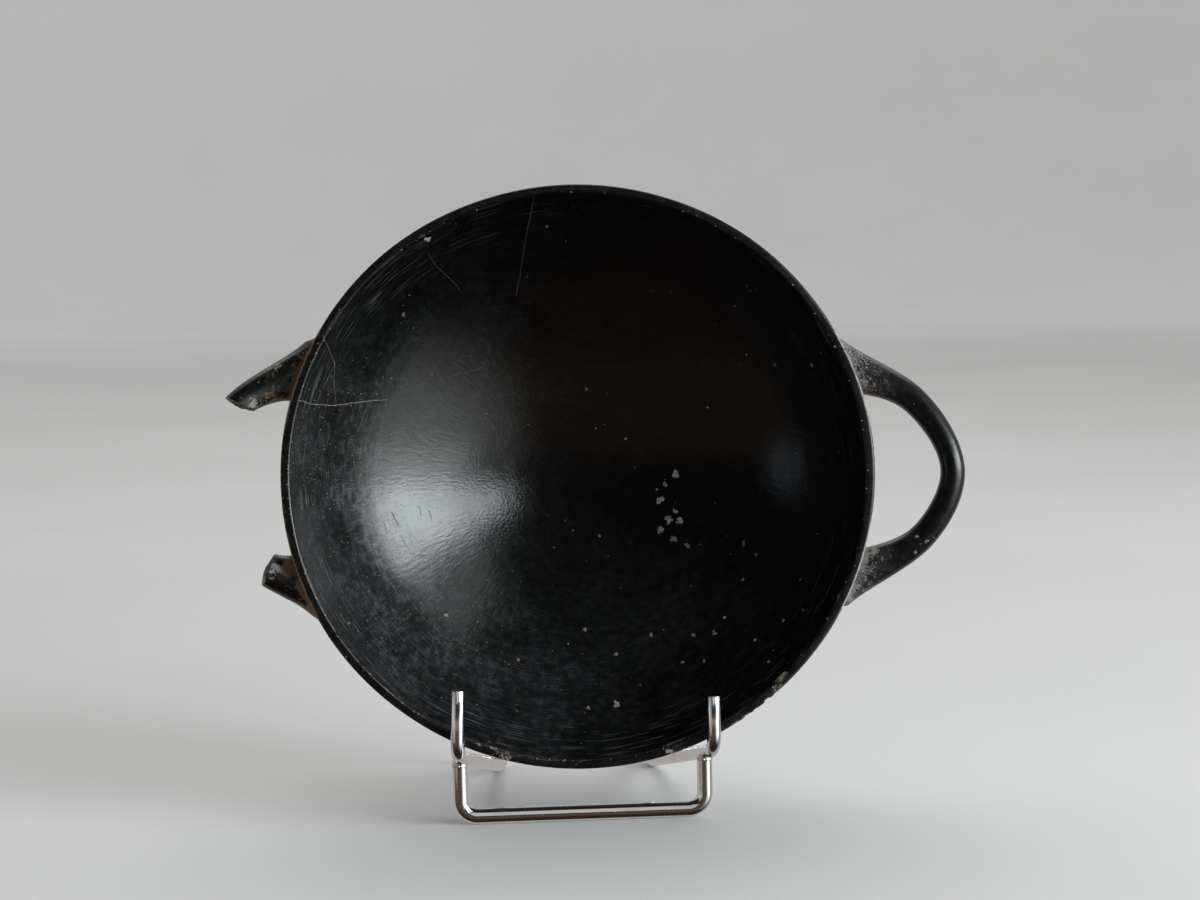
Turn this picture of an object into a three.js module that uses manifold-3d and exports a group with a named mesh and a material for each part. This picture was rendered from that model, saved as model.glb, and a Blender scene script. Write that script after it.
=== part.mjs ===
// A black burnished clay kylix, one of its two loop handles broken off, leaning in a small easel of
// chromed wire. Millimetres, +Z up. The easel stands on z = 0, the origin is under its front foot, midway
// between its arms, and the mouth of the cup faces -Y.
import * as THREE from "three";
import { mergeVertices } from "three/addons/utils/BufferGeometryUtils.js";
import Module from "manifold-3d";

const wasm = await Module();
wasm.setup();

// Cup, in its own frame: the foot stands on z = 0, the mouth opens towards +Z and the handles lie along X
const RIM_DIAMETER = 150.4; // across the handles
const RIM_OVALITY = 0.983; // the other way, as a share of that
const CUP_HEIGHT = 62;
const LIP_WIDTH = 2.2; // flat top of the lip, inner arris to outer edge
const LIP_ROUND = 0.8; // rounding of the lip's outer edge
const BOWL_DEPTH = 44.3; // inside, at the middle
const FLOOR_THICKNESS = 5.2; // wall at the middle of the bowl
const STEM_RADIUS = 17.5; // where the foot leaves the bowl
const FOOT_RADIUS = 30;
const FOOT_EDGE = 3.2; // height of the foot's edge
const FOOT_EDGE_ROUND = 1; // how far that edge is rounded
const FOOT_SWEEP = { out: 2, up: 3 }; // pull of the foot's curve, out from the stem and up from the edge
const FOOT_RING_WIDTH = 5; // flat ring that the cup stands on
const FOOT_HOLLOW = 8.5; // height of the hollow under the foot
const HOLLOW_SHOULDER = 0.75; // share of its radius at which that hollow turns down
const CUP_SEGMENTS = 64;
const ARC_DIVISIONS = 6; // points on a round stretch of the profile are twice this

// Handles: loops that leave the wall under the lip and rise a little towards their tips. The middle line
// of each runs from a root inside the wall over a shoulder to the tip, and back in the same way below
const RIGHT_HANDLE = {
  roots: [{ x: 66, y: 27.6 }, { x: 66, y: -29.3 }],
  shoulders: [{ x: 86.6, y: 17.1 }, { x: 87.9, y: -18 }],
  tip: { x: 95.5, y: -1.2 },
};
const LEFT_HANDLE = {
  roots: [{ x: -66, y: 29.7 }, { x: -66, y: -27.4 }],
  shoulders: [{ x: -86.2, y: 19.6 }, { x: -84.8, y: -18.1 }],
  tip: { x: -95.5, y: 1.2 },
};
const HANDLE_ROOT_DROP = 10.5; // below the rim
const HANDLE_TIP_DROP = 1.5;
const HANDLE_SHOULDER_RISE = 0.6; // share of the climb from root to tip
const HANDLE_TIP_WIDTH = 6.3; // seen from above
const HANDLE_ROOT_WIDTH = 13.9;
const HANDLE_TIP_THICKNESS = 6.2; // seen from the side
const HANDLE_ROOT_THICKNESS = 8.2;
const HANDLE_FLARE = 3; // how sharply the handle widens towards its roots
const HANDLE_EMBED = 10; // how far a root runs on into the wall, towards the cup's axis
const HANDLE_SIDES = 12;
const HANDLE_STEPS = 22;

// Stumps of the broken handle: where each break crosses the middle line, and the way the broken face looks
const UPPER_BREAK = { x: -85, y: 20, facing: new THREE.Vector3(-0.47, -0.88, 0.1) };
const LOWER_BREAK = { x: -79, y: -22.3, facing: new THREE.Vector3(-0.94, 0.33, 0.15) };
const BREAK_ROUGHNESS = 0.7; // hills and hollows of the broken faces
const BREAK_WAVES = [2.4, 1.1]; // turn from corner to corner of the two waves that make them uneven
const STUMP_STEPS = 6;

// Easel: two arms of bent wire, a front foot and a back rail, welded together
const WIRE_DIAMETER = 3.5; // arms and rail
const FOOT_WIRE_DIAMETER = 3.9; // the front foot is of stouter wire
const WIRE_SIDES = 12;
const BEND_STEPS = 6;
const WELD_GAP = 0.3; // between two pieces that touch
const HOOK_SPACING = 64.4;
const HOOK_Y = -5.5;
const HOOK_CORNER_HEIGHT = { left: 18.6, right: 18.25 }; // middle of the wire under the hook
const HOOK_TIP_HEIGHT = { left: 35.8, right: 32.4 };
const HOOK_TIP_INSET = { left: 0.6, right: 0 }; // how far each tip leans towards the easel's middle
const HOOK_BEND_RADIUS = 5.5;
const REAR_SPACING = 40.8;
const REAR_BEND_RADIUS = 6;
const UPRIGHT_LENGTH = 108; // rear corner to tip
const RAIL_HEIGHT = 100; // along the uprights
const RAIL_LENGTH = 52;
const FOOT_BEND_RADIUS = 4.2;
const POST_SHIFT = { left: -0.5, right: -0.95 }; // along X, from the middle of each arm to the post under it

// How the cup leans in the easel
const LEAN = THREE.MathUtils.degToRad(8); // rim plane back from the vertical
const RIM_LOW_POINT = 14.3; // lowest point of the rim above the table
const CUP_SHIFT = 0.35; // cup's axis to the right of the easel's middle

const MERGE_DISTANCE = 1e-4; // points nearer than this are one
const CUT_OVERRUN = 5; // how far a cut runs on past the clay
const TABLE_BLOCK = { side: 400, depth: 20 };

const WIRE_RADIUS = WIRE_DIAMETER / 2;
const FOOT_WIRE_RADIUS = FOOT_WIRE_DIAMETER / 2;
const RIM_RADIUS = RIM_DIAMETER / 2;
const RIM_DROP = RIM_RADIUS * RIM_OVALITY; // rim's middle to its lowest point
const BACKWARD = new THREE.Vector3(0, 1, 0);

const BLACK_CLAY = new THREE.MeshStandardMaterial({ color: 0x171614, roughness: 0.34, metalness: 0 });
const CHROME = new THREE.MeshStandardMaterial({ color: 0xcfd0d2, roughness: 0.12, metalness: 1 });

/** A geometry as a manifold solid, from its positions, without the empty triangles on a lathe's axis. */
function solidFrom(geometry) {
  const bare = new THREE.BufferGeometry();
  bare.setAttribute("position", geometry.getAttribute("position"));
  bare.setIndex(geometry.getIndex());
  const merged = mergeVertices(bare, MERGE_DISTANCE);
  const index = merged.getIndex().array;
  const triangles = [];
  for (let i = 0; i < index.length; i += 3) {
    const [a, b, c] = index.slice(i, i + 3);
    if (a !== b && b !== c && c !== a) triangles.push(a, b, c);
  }
  return new wasm.Manifold(
    new wasm.Mesh({
      numProp: 3,
      vertProperties: merged.getAttribute("position").array,
      triVerts: new Uint32Array(triangles),
    }),
  );
}

/** A named piece of the object from its solid, with a finish of its own. */
function pieceOf(name, solid, finish) {
  const mesh = solid.getMesh();
  const geometry = new THREE.BufferGeometry();
  geometry.setAttribute("position", new THREE.BufferAttribute(new Float32Array(mesh.vertProperties), 3));
  geometry.setIndex(new THREE.BufferAttribute(new Uint32Array(mesh.triVerts), 1));
  geometry.computeVertexNormals();
  const piece = new THREE.Mesh(geometry, finish.clone());
  piece.name = name;
  return piece;
}

/** A solid turned about the cup's axis, from a profile of radius and height, a little oval as the pot is. */
function turned(profile) {
  const lathe = new THREE.LatheGeometry(profile.getPoints(ARC_DIVISIONS), CUP_SEGMENTS);
  lathe.rotateX(Math.PI / 2);
  lathe.scale(1, RIM_OVALITY, 1);
  return solidFrom(lathe);
}

/** Middle and radius of the sphere that rises from height low on the axis to a point of the profile. */
function sphereThrough(low, radius, height) {
  const rise = height - low;
  const size = (radius * radius + rise * rise) / (2 * rise);
  return { middle: low + size, size };
}

/** Angle of a sphere's surface at a radius, for an arc drawn from the sphere's middle. */
function angleAt(sphere, radius) {
  return -Math.acos(radius / sphere.size);
}

/** The cup's outside, filled in: the bowl's wall, the flaring foot and the hollow under it. */
function outsideProfile() {
  const low = CUP_HEIGHT - BOWL_DEPTH - FLOOR_THICKNESS;
  const shell = sphereThrough(low, RIM_RADIUS, CUP_HEIGHT - LIP_ROUND);
  const stemTop = shell.middle - Math.sqrt(shell.size ** 2 - STEM_RADIUS ** 2);
  const ringInside = FOOT_RADIUS - FOOT_RING_WIDTH;
  const edgeStart = FOOT_RADIUS - FOOT_EDGE_ROUND;
  const profile = new THREE.Path();
  profile.moveTo(0, FOOT_HOLLOW);
  profile.quadraticCurveTo(ringInside * HOLLOW_SHOULDER, FOOT_HOLLOW, ringInside, 0);
  profile.lineTo(edgeStart, 0);
  profile.quadraticCurveTo(FOOT_RADIUS + FOOT_EDGE_ROUND, FOOT_EDGE / 2, edgeStart, FOOT_EDGE);
  profile.quadraticCurveTo(STEM_RADIUS + FOOT_SWEEP.out, FOOT_EDGE + FOOT_SWEEP.up, STEM_RADIUS, stemTop);
  const [wallLow, wallHigh] = [angleAt(shell, STEM_RADIUS), angleAt(shell, RIM_RADIUS)];
  profile.absarc(0, shell.middle, shell.size, wallLow, wallHigh, false);
  profile.quadraticCurveTo(RIM_RADIUS, CUP_HEIGHT, RIM_RADIUS - LIP_ROUND, CUP_HEIGHT);
  profile.lineTo(0, CUP_HEIGHT);
  return profile;
}

/** The hollow of the bowl, carried on above the rim so that it cuts the mouth open. */
function hollowProfile() {
  const mouth = RIM_RADIUS - LIP_WIDTH;
  const above = CUP_HEIGHT + CUT_OVERRUN;
  const inside = sphereThrough(CUP_HEIGHT - BOWL_DEPTH, mouth, CUP_HEIGHT);
  const profile = new THREE.Path();
  profile.moveTo(0, CUP_HEIGHT - BOWL_DEPTH);
  profile.absarc(0, inside.middle, inside.size, -Math.PI / 2, angleAt(inside, mouth), false);
  profile.lineTo(mouth, above);
  profile.lineTo(0, above);
  return profile;
}

/** Middle of a ring of points. */
function middleOf(ring) {
  const sum = ring.reduce((total, point) => total.add(point), new THREE.Vector3());
  return sum.divideScalar(ring.length);
}

/** A closed skin over a row of rings with equally many points, with a fan over each end. */
function skinOver(rings) {
  const sides = rings[0].length;
  const points = rings.flat();
  const startFan = points.length;
  const endFan = startFan + 1;
  const lastRing = (rings.length - 1) * sides;
  points.push(middleOf(rings[0]), middleOf(rings.at(-1)));
  const triangles = [];
  for (let side = 0; side < sides; side++) {
    const next = (side + 1) % sides;
    for (let ring = 0; ring < lastRing; ring += sides) {
      triangles.push(ring + side, ring + next, ring + sides + next);
      triangles.push(ring + side, ring + sides + next, ring + sides + side);
    }
    triangles.push(startFan, next, side, endFan, lastRing + side, lastRing + next);
  }
  return new THREE.BufferGeometry().setFromPoints(points).setIndex(triangles);
}

/** Middle line of a handle, from its upper root to the lower one. */
function handleLine({ roots, shoulders, tip }) {
  const shoulderDrop = THREE.MathUtils.lerp(HANDLE_ROOT_DROP, HANDLE_TIP_DROP, HANDLE_SHOULDER_RISE);
  const at = ({ x, y }, drop) => new THREE.Vector3(x, y, CUP_HEIGHT - drop);
  return new THREE.CatmullRomCurve3([
    at(roots[0], HANDLE_ROOT_DROP),
    at(shoulders[0], shoulderDrop),
    at(tip, HANDLE_TIP_DROP),
    at(shoulders[1], shoulderDrop),
    at(roots[1], HANDLE_ROOT_DROP),
  ]);
}

/** Ring of points round the handle at a share of its length, wider towards the roots. */
function handleRing(line, share) {
  const middle = line.getPointAt(share);
  const along = line.getTangentAt(share);
  const across = new THREE.Vector3(0, 0, 1).cross(along).normalize();
  const upright = new THREE.Vector3().crossVectors(along, across);
  const flare = Math.abs(2 * share - 1) ** HANDLE_FLARE;
  const halfWidth = THREE.MathUtils.lerp(HANDLE_TIP_WIDTH, HANDLE_ROOT_WIDTH, flare) / 2;
  const halfThickness = THREE.MathUtils.lerp(HANDLE_TIP_THICKNESS, HANDLE_ROOT_THICKNESS, flare) / 2;
  return Array.from({ length: HANDLE_SIDES }, (_, side) => {
    const angle = (2 * Math.PI * side) / HANDLE_SIDES;
    return middle
      .clone()
      .addScaledVector(across, halfWidth * Math.cos(angle))
      .addScaledVector(upright, halfThickness * Math.sin(angle));
  });
}

/** The ring at a handle's root moved on into the wall, so that the wall takes up the whole root. */
function buriedRing(line, root) {
  const inward = line.getPointAt(root).setZ(0).setLength(-HANDLE_EMBED);
  return handleRing(line, root).map((corner) => corner.add(inward));
}

/** The whole handle on the right. */
function wholeHandle() {
  const line = handleLine(RIGHT_HANDLE);
  const rings = [buriedRing(line, 0)];
  for (let step = 0; step <= HANDLE_STEPS; step++) rings.push(handleRing(line, step / HANDLE_STEPS));
  rings.push(buriedRing(line, 1));
  return solidFrom(skinOver(rings));
}

/** A ring slid along the handle onto the broken face, which is uneven. */
function brokenRing(ring, along, point, facing) {
  return ring.map((corner, side) => {
    const slide = point.clone().sub(corner).dot(facing) / along.dot(facing);
    const unevenness = BREAK_ROUGHNESS * Math.sin(BREAK_WAVES[0] * side) * Math.cos(BREAK_WAVES[1] * side);
    return corner.clone().addScaledVector(along, slide + unevenness);
  });
}

/** Stump of the broken handle on the left, from its root to the break. */
function brokenStump(fracture, fromLowerRoot) {
  const line = handleLine(LEFT_HANDLE);
  const breakShare = shareNearest(line, fracture);
  const root = fromLowerRoot ? 1 : 0;
  const point = line.getPointAt(breakShare);
  const facing = fracture.facing.clone().normalize();
  const rings = [buriedRing(line, root)];
  for (let step = 0; step < STUMP_STEPS; step++) {
    rings.push(handleRing(line, THREE.MathUtils.lerp(root, breakShare, step / STUMP_STEPS)));
  }
  rings.push(brokenRing(handleRing(line, breakShare), line.getTangentAt(breakShare), point, facing));
  if (fromLowerRoot) rings.reverse();
  return solidFrom(skinOver(rings));
}

/** Share of a line's length at which it passes nearest to a place, seen along the cup's axis. */
function shareNearest(line, place) {
  const tries = 400;
  let best = { share: 0, distance: Infinity };
  for (let step = 0; step <= tries; step++) {
    const point = line.getPointAt(step / tries);
    const distance = Math.hypot(point.x - place.x, point.y - place.y);
    if (distance < best.distance) best = { share: step / tries, distance };
  }
  return best.share;
}

/** The cup, fired as one piece: bowl, foot, whole handle and two stumps. */
function kylixCup() {
  const solid = turned(outsideProfile())
    .add(wholeHandle())
    .add(brokenStump(UPPER_BREAK, false))
    .add(brokenStump(LOWER_BREAK, true))
    .subtract(turned(hollowProfile()));
  return pieceOf("kylix_cup", solid, BLACK_CLAY);
}

/** Stations along a bent wire, each a point and a direction, with an arc in place of each corner. */
function wireStations(corners, bendRadii) {
  const stations = [];
  const last = corners.length - 1;
  stations.push({ point: corners[0], along: directionOf(corners[0], corners[1]) });
  for (let i = 1; i < last; i++) {
    const radius = bendRadii[i - 1];
    const before = directionOf(corners[i - 1], corners[i]);
    const after = directionOf(corners[i], corners[i + 1]);
    const inward = after.clone().addScaledVector(before, -after.dot(before)).normalize();
    const turn = before.angleTo(after);
    const middle = corners[i]
      .clone()
      .addScaledVector(before, -radius * Math.tan(turn / 2))
      .addScaledVector(inward, radius);
    for (let step = 0; step <= BEND_STEPS; step++) {
      const cos = Math.cos((turn * step) / BEND_STEPS);
      const sin = Math.sin((turn * step) / BEND_STEPS);
      const along = before.clone().multiplyScalar(cos).addScaledVector(inward, sin);
      const outward = before.clone().multiplyScalar(sin).addScaledVector(inward, -cos);
      stations.push({ point: middle.clone().addScaledVector(outward, radius), along });
    }
  }
  stations.push({ point: corners[last], along: directionOf(corners[last - 1], corners[last]) });
  return stations;
}

/** Unit vector from one point to another. */
function directionOf(from, to) {
  return new THREE.Vector3().subVectors(to, from).normalize();
}

/** Wire of round section along its stations. At its start, one flat of the section faces the way given. */
function wireAlong(stations, flatWay, radius) {
  const cornerRadius = radius / Math.cos(Math.PI / WIRE_SIDES);
  const normal = flatWay.clone();
  let previous = stations[0].along;
  const rings = stations.map(({ point, along }) => {
    normal.applyQuaternion(new THREE.Quaternion().setFromUnitVectors(previous, along));
    previous = along;
    const binormal = new THREE.Vector3().crossVectors(along, normal);
    return Array.from({ length: WIRE_SIDES }, (_, side) => {
      const angle = (2 * Math.PI * (side + 0.5)) / WIRE_SIDES;
      return point
        .clone()
        .addScaledVector(normal, cornerRadius * Math.cos(angle))
        .addScaledVector(binormal, cornerRadius * Math.sin(angle));
    });
  });
  return solidFrom(skinOver(rings));
}

/** Everything under the table's surface, which the rear bends are dressed flat against. */
function underTable() {
  const block = new THREE.BoxGeometry(TABLE_BLOCK.side, TABLE_BLOCK.side, TABLE_BLOCK.depth);
  block.translate(0, 0, -TABLE_BLOCK.depth / 2);
  return solidFrom(block);
}

// Where the rim's middle comes to lie: against the hooks, and with the rim's low point over the table
const hookTouch = Math.sqrt(1 - (HOOK_SPACING / RIM_DIAMETER) ** 2) * RIM_DROP; // rim's middle to the hooks
const rimMiddle = new THREE.Vector3(
  CUP_SHIFT,
  HOOK_Y + WIRE_RADIUS + WELD_GAP + hookTouch * Math.sin(LEAN),
  RIM_LOW_POINT + RIM_DROP * Math.cos(LEAN),
);
const mouthWay = new THREE.Vector3(0, -Math.cos(LEAN), Math.sin(LEAN)); // the way the mouth faces
const upWay = new THREE.Vector3(0, Math.sin(LEAN), Math.cos(LEAN)); // up the rim and the uprights

/** Rear corner of an arm, before it is bent, so far back that the cup's foot leans against the upright. */
function rearCorner(side) {
  const depth = CUP_HEIGHT + WELD_GAP + WIRE_RADIUS;
  const drop = rimMiddle.z * Math.sin(LEAN);
  const back = rimMiddle.y + (depth - drop) / Math.cos(LEAN);
  return new THREE.Vector3((side * REAR_SPACING) / 2, back, 0);
}

/** Corner of an arm under its hook. */
function hookCorner(side) {
  const height = side < 0 ? HOOK_CORNER_HEIGHT.left : HOOK_CORNER_HEIGHT.right;
  return new THREE.Vector3((side * HOOK_SPACING) / 2, HOOK_Y, height);
}

/** An arm of the easel: hook, run to the rear, bend on the table and upright behind the cup. */
function easelArm(name, side, tipHeight, tipInset) {
  const hook = hookCorner(side);
  const rear = rearCorner(side);
  const hookTip = hook.clone().setZ(tipHeight);
  hookTip.x -= side * tipInset;
  const uprightTip = rear.clone().addScaledVector(upWay, UPRIGHT_LENGTH);
  const stations = wireStations([hookTip, hook, rear, uprightTip], [HOOK_BEND_RADIUS, REAR_BEND_RADIUS]);
  const solid = wireAlong(stations, BACKWARD, WIRE_RADIUS).subtract(underTable());
  return pieceOf(name, solid, CHROME);
}

/** Top of the front foot's post on one side, just clear of the arm that it carries. */
function postTop(side) {
  const hook = hookCorner(side);
  const rear = rearCorner(side);
  const way = directionOf(hook, rear);
  const fall = -way.z / Math.hypot(way.x, way.y); // how steeply the arm runs down to the rear
  const top = hook.lerp(rear, -HOOK_Y / (rear.y - HOOK_Y)); // middle of the arm over the foot
  top.x += side < 0 ? POST_SHIFT.left : POST_SHIFT.right;
  top.z -= WIRE_RADIUS * Math.hypot(1, fall) + FOOT_WIRE_RADIUS * fall + WELD_GAP;
  return top;
}

/** The front foot: a wire with both ends turned up to the arms, which it carries. */
function frontFoot() {
  const [left, right] = [postTop(-1), postTop(1)];
  const corners = [left, left.clone().setZ(FOOT_WIRE_RADIUS), right.clone().setZ(FOOT_WIRE_RADIUS), right];
  const stations = wireStations(corners, [FOOT_BEND_RADIUS, FOOT_BEND_RADIUS]);
  return pieceOf("easel_front_foot", wireAlong(stations, BACKWARD, FOOT_WIRE_RADIUS), CHROME);
}

/** The rail across the backs of the two uprights. */
function backRail() {
  const behind = mouthWay.clone().multiplyScalar(-(WIRE_DIAMETER + WELD_GAP));
  const middle = rearCorner(1).setX(0).addScaledVector(upWay, RAIL_HEIGHT).add(behind);
  const end = new THREE.Vector3(RAIL_LENGTH / 2, 0, 0);
  const along = new THREE.Vector3(1, 0, 0);
  const stations = [
    { point: middle.clone().sub(end), along },
    { point: middle.clone().add(end), along },
  ];
  return pieceOf("easel_back_rail", wireAlong(stations, mouthWay, WIRE_RADIUS), CHROME);
}

const cupPlace = new THREE.Group();
cupPlace.rotation.x = Math.PI / 2 - LEAN;
cupPlace.position.copy(rimMiddle).addScaledVector(mouthWay, -CUP_HEIGHT);
cupPlace.add(kylixCup());

const cupOnEasel = new THREE.Group();
cupOnEasel.add(
  cupPlace,
  easelArm("easel_left_arm", -1, HOOK_TIP_HEIGHT.left, HOOK_TIP_INSET.left),
  easelArm("easel_right_arm", 1, HOOK_TIP_HEIGHT.right, HOOK_TIP_INSET.right),
  frontFoot(),
  backRail(),
);

export default cupOnEasel;
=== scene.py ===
"""Looks of a black burnished clay kylix, one handle broken off, leaning in an easel of chromed wire.

Metres, +Z up. The easel stands on z = 0, the origin is under the middle of its front foot, and the mouth
of the cup faces -Y. The cup is shaped in its own frame, with its foot on z = 0, its mouth towards +Z and
its handles along X, and is then leant into the easel.
"""

import logging
import math
from abc import ABC, abstractmethod
from dataclasses import dataclass, field
from enum import Enum

import bpy
import numpy as np
from mathutils import Matrix, Vector, noise
from mathutils.bvhtree import BVHTree


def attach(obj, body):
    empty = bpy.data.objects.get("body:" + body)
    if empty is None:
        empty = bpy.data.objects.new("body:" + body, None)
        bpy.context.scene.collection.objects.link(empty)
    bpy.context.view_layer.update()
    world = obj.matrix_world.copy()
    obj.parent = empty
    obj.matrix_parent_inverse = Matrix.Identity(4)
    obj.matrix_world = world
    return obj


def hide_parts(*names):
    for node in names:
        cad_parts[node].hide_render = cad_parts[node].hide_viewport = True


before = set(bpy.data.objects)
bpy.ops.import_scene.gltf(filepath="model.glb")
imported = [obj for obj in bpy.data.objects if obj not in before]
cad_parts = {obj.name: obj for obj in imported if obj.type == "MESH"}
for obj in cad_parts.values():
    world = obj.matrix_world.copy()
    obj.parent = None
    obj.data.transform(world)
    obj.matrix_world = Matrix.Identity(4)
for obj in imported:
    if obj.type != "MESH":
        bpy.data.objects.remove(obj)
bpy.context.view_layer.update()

LOG = logging.getLogger("kylix")
BODY = "root"
MM = 0.001
Array = np.ndarray
Colour = tuple[float, float, float, float]
Tone = tuple[float, float, float]
Stretch = tuple[float, float, float]
Node = bpy.types.Node
Socket = bpy.types.NodeSocket
Piece = bpy.types.Object
Value = float | Socket
Inputs = tuple[tuple[str, str], ...]
FLOAT_SOCKET = "NodeSocketFloat"
INT_SOCKET = "NodeSocketInt"


class Slot(Enum):
    """Material slots of the record."""

    CLAY = "black_clay"
    CHROME = "chromed_wire"


class LipEdge(Enum):
    """Edges of the lip that a chip can sit on."""

    INNER = "inner"
    OUTER = "outer"


class Bench:
    """A node tree in the making, with short words for the nodes that finishes and recipes share."""

    FIRST_COLOUR = 6
    MIXED_COLOUR = 2

    def __init__(self, tree: bpy.types.NodeTree) -> None:
        """Args: tree: the tree to add nodes to."""
        self.tree = tree

    def node(self, kind: str, given: dict[str | int, object] | None = None, **settings: object) -> Node:
        """Add a node.

        Args:
            kind: the node's type.
            given: what its inputs are fed with, by name or number.
            settings: properties to set on it first.

        Returns:
            The new node.
        """
        made = self.tree.nodes.new(kind)
        for name, value in settings.items():
            setattr(made, name, value)
        for name, value in (given or {}).items():
            self.feed(made.inputs[name], value)
        return made

    def feed(self, socket: Socket, value: object) -> None:
        """Link a socket to another one, or set its plain value.

        Args:
            socket: the input to feed.
            value: an output socket, or a plain value.
        """
        if isinstance(value, Socket):
            self.tree.links.new(value, socket)
        else:
            socket.default_value = value

    def maths(self, operation: str, first: Value, second: Value = 0.0) -> Socket:
        """One step of arithmetic, by the Math node's operation of that name."""
        return self.node("ShaderNodeMath", {0: first, 1: second}, operation=operation).outputs[0]

    def chained(self, operation: str, values: tuple[Value, ...]) -> Socket:
        """Several values brought together by the same operation, from the first to the last."""
        result = values[0]
        for value in values[1:]:
            result = self.maths(operation, result, value)
        return result

    def times(self, *factors: Value) -> Socket:
        """Product of several values."""
        return self.chained("MULTIPLY", factors)

    def plus(self, *terms: Value) -> Socket:
        """Sum of several values."""
        return self.chained("ADD", terms)

    def most(self, *values: Value) -> Socket:
        """Largest of several values."""
        return self.chained("MAXIMUM", values)

    def blend(self, *parts: tuple[float, Value]) -> Socket:
        """Sum of several values, each multiplied by its own weight."""
        return self.plus(*(self.times(weight, value) for weight, value in parts))

    def rise(self, value: Value, low: float, high: float, start: float = 0.0, end: float = 1.0) -> Socket:
        """Smooth step from start to end, as a value passes from low to high."""
        inputs = {"Value": value, "From Min": low, "From Max": high, "To Min": start, "To Max": end}
        return self.node("ShaderNodeMapRange", inputs, interpolation_type="SMOOTHSTEP").outputs["Result"]

    def noise(self, vector: Socket, scale: float, detail: float = 2.0, warp: float = 0.0) -> Socket:
        """Cloudy noise, about 0.5 in the middle, with so many lumps for each unit of length."""
        inputs = {"Vector": vector, "Scale": scale, "Detail": detail, "Distortion": warp}
        return self.node("ShaderNodeTexNoise", inputs).outputs["Fac"]

    def streaks(self, vector: Socket, stretch: Stretch, detail: float) -> Socket:
        """Noise drawn out in streaks, with its own number of lumps along each part of the vector."""
        mapped = self.node("ShaderNodeMapping", {"Vector": vector, "Scale": stretch})
        return self.noise(mapped.outputs["Vector"], 1, detail)

    def place(self) -> Socket:
        """Position on the piece, in metres."""
        return self.node("ShaderNodeTexCoord").outputs["Object"]

    def painted(self, name: str, output: str = "Fac") -> Socket:
        """A value that the mesh carries on its points."""
        return self.node("ShaderNodeAttribute", attribute_name=name).outputs[output]

    def tint(self, factor: Value, below: object, above: object) -> Socket:
        """Mix of two colours or sockets: the first at factor 0, the second at factor 1."""
        inputs = {"Factor": factor, self.FIRST_COLOUR: below, self.FIRST_COLOUR + 1: above}
        return self.node("ShaderNodeMix", inputs, data_type="RGBA").outputs[self.MIXED_COLOUR]

    def bump(self, height: Socket, depth: float, strength: float, under: Socket | None = None) -> Socket:
        """Normal of a surface with small relief.

        Args:
            height: relief, from 0 to 1.
            depth: height of the relief in metres.
            strength: how much of it shows.
            under: normal of coarser relief below it.

        Returns:
            The normal's socket.
        """
        inputs = {"Distance": depth, "Strength": strength, "Height": height}
        if under is not None:
            inputs["Normal"] = under
        return self.node("ShaderNodeBump", inputs).outputs["Normal"]


@dataclass(frozen=True)
class Finish(ABC):
    """A surface finish that becomes one material."""

    name: str

    def material(self) -> bpy.types.Material:
        """Returns: the finish's material, made on first use."""
        made = bpy.data.materials.get(self.name)
        if made is None:
            made = bpy.data.materials.new(self.name)
            made.use_nodes = True
            shader = made.node_tree.nodes["Principled BSDF"]
            self.shade(Bench(made.node_tree), shader)
        return made

    @abstractmethod
    def shade(self, bench: Bench, shader: Node) -> None:
        """Lay the finish's nodes.

        Args:
            bench: the material's tree.
            shader: its principled shader.
        """


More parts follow.
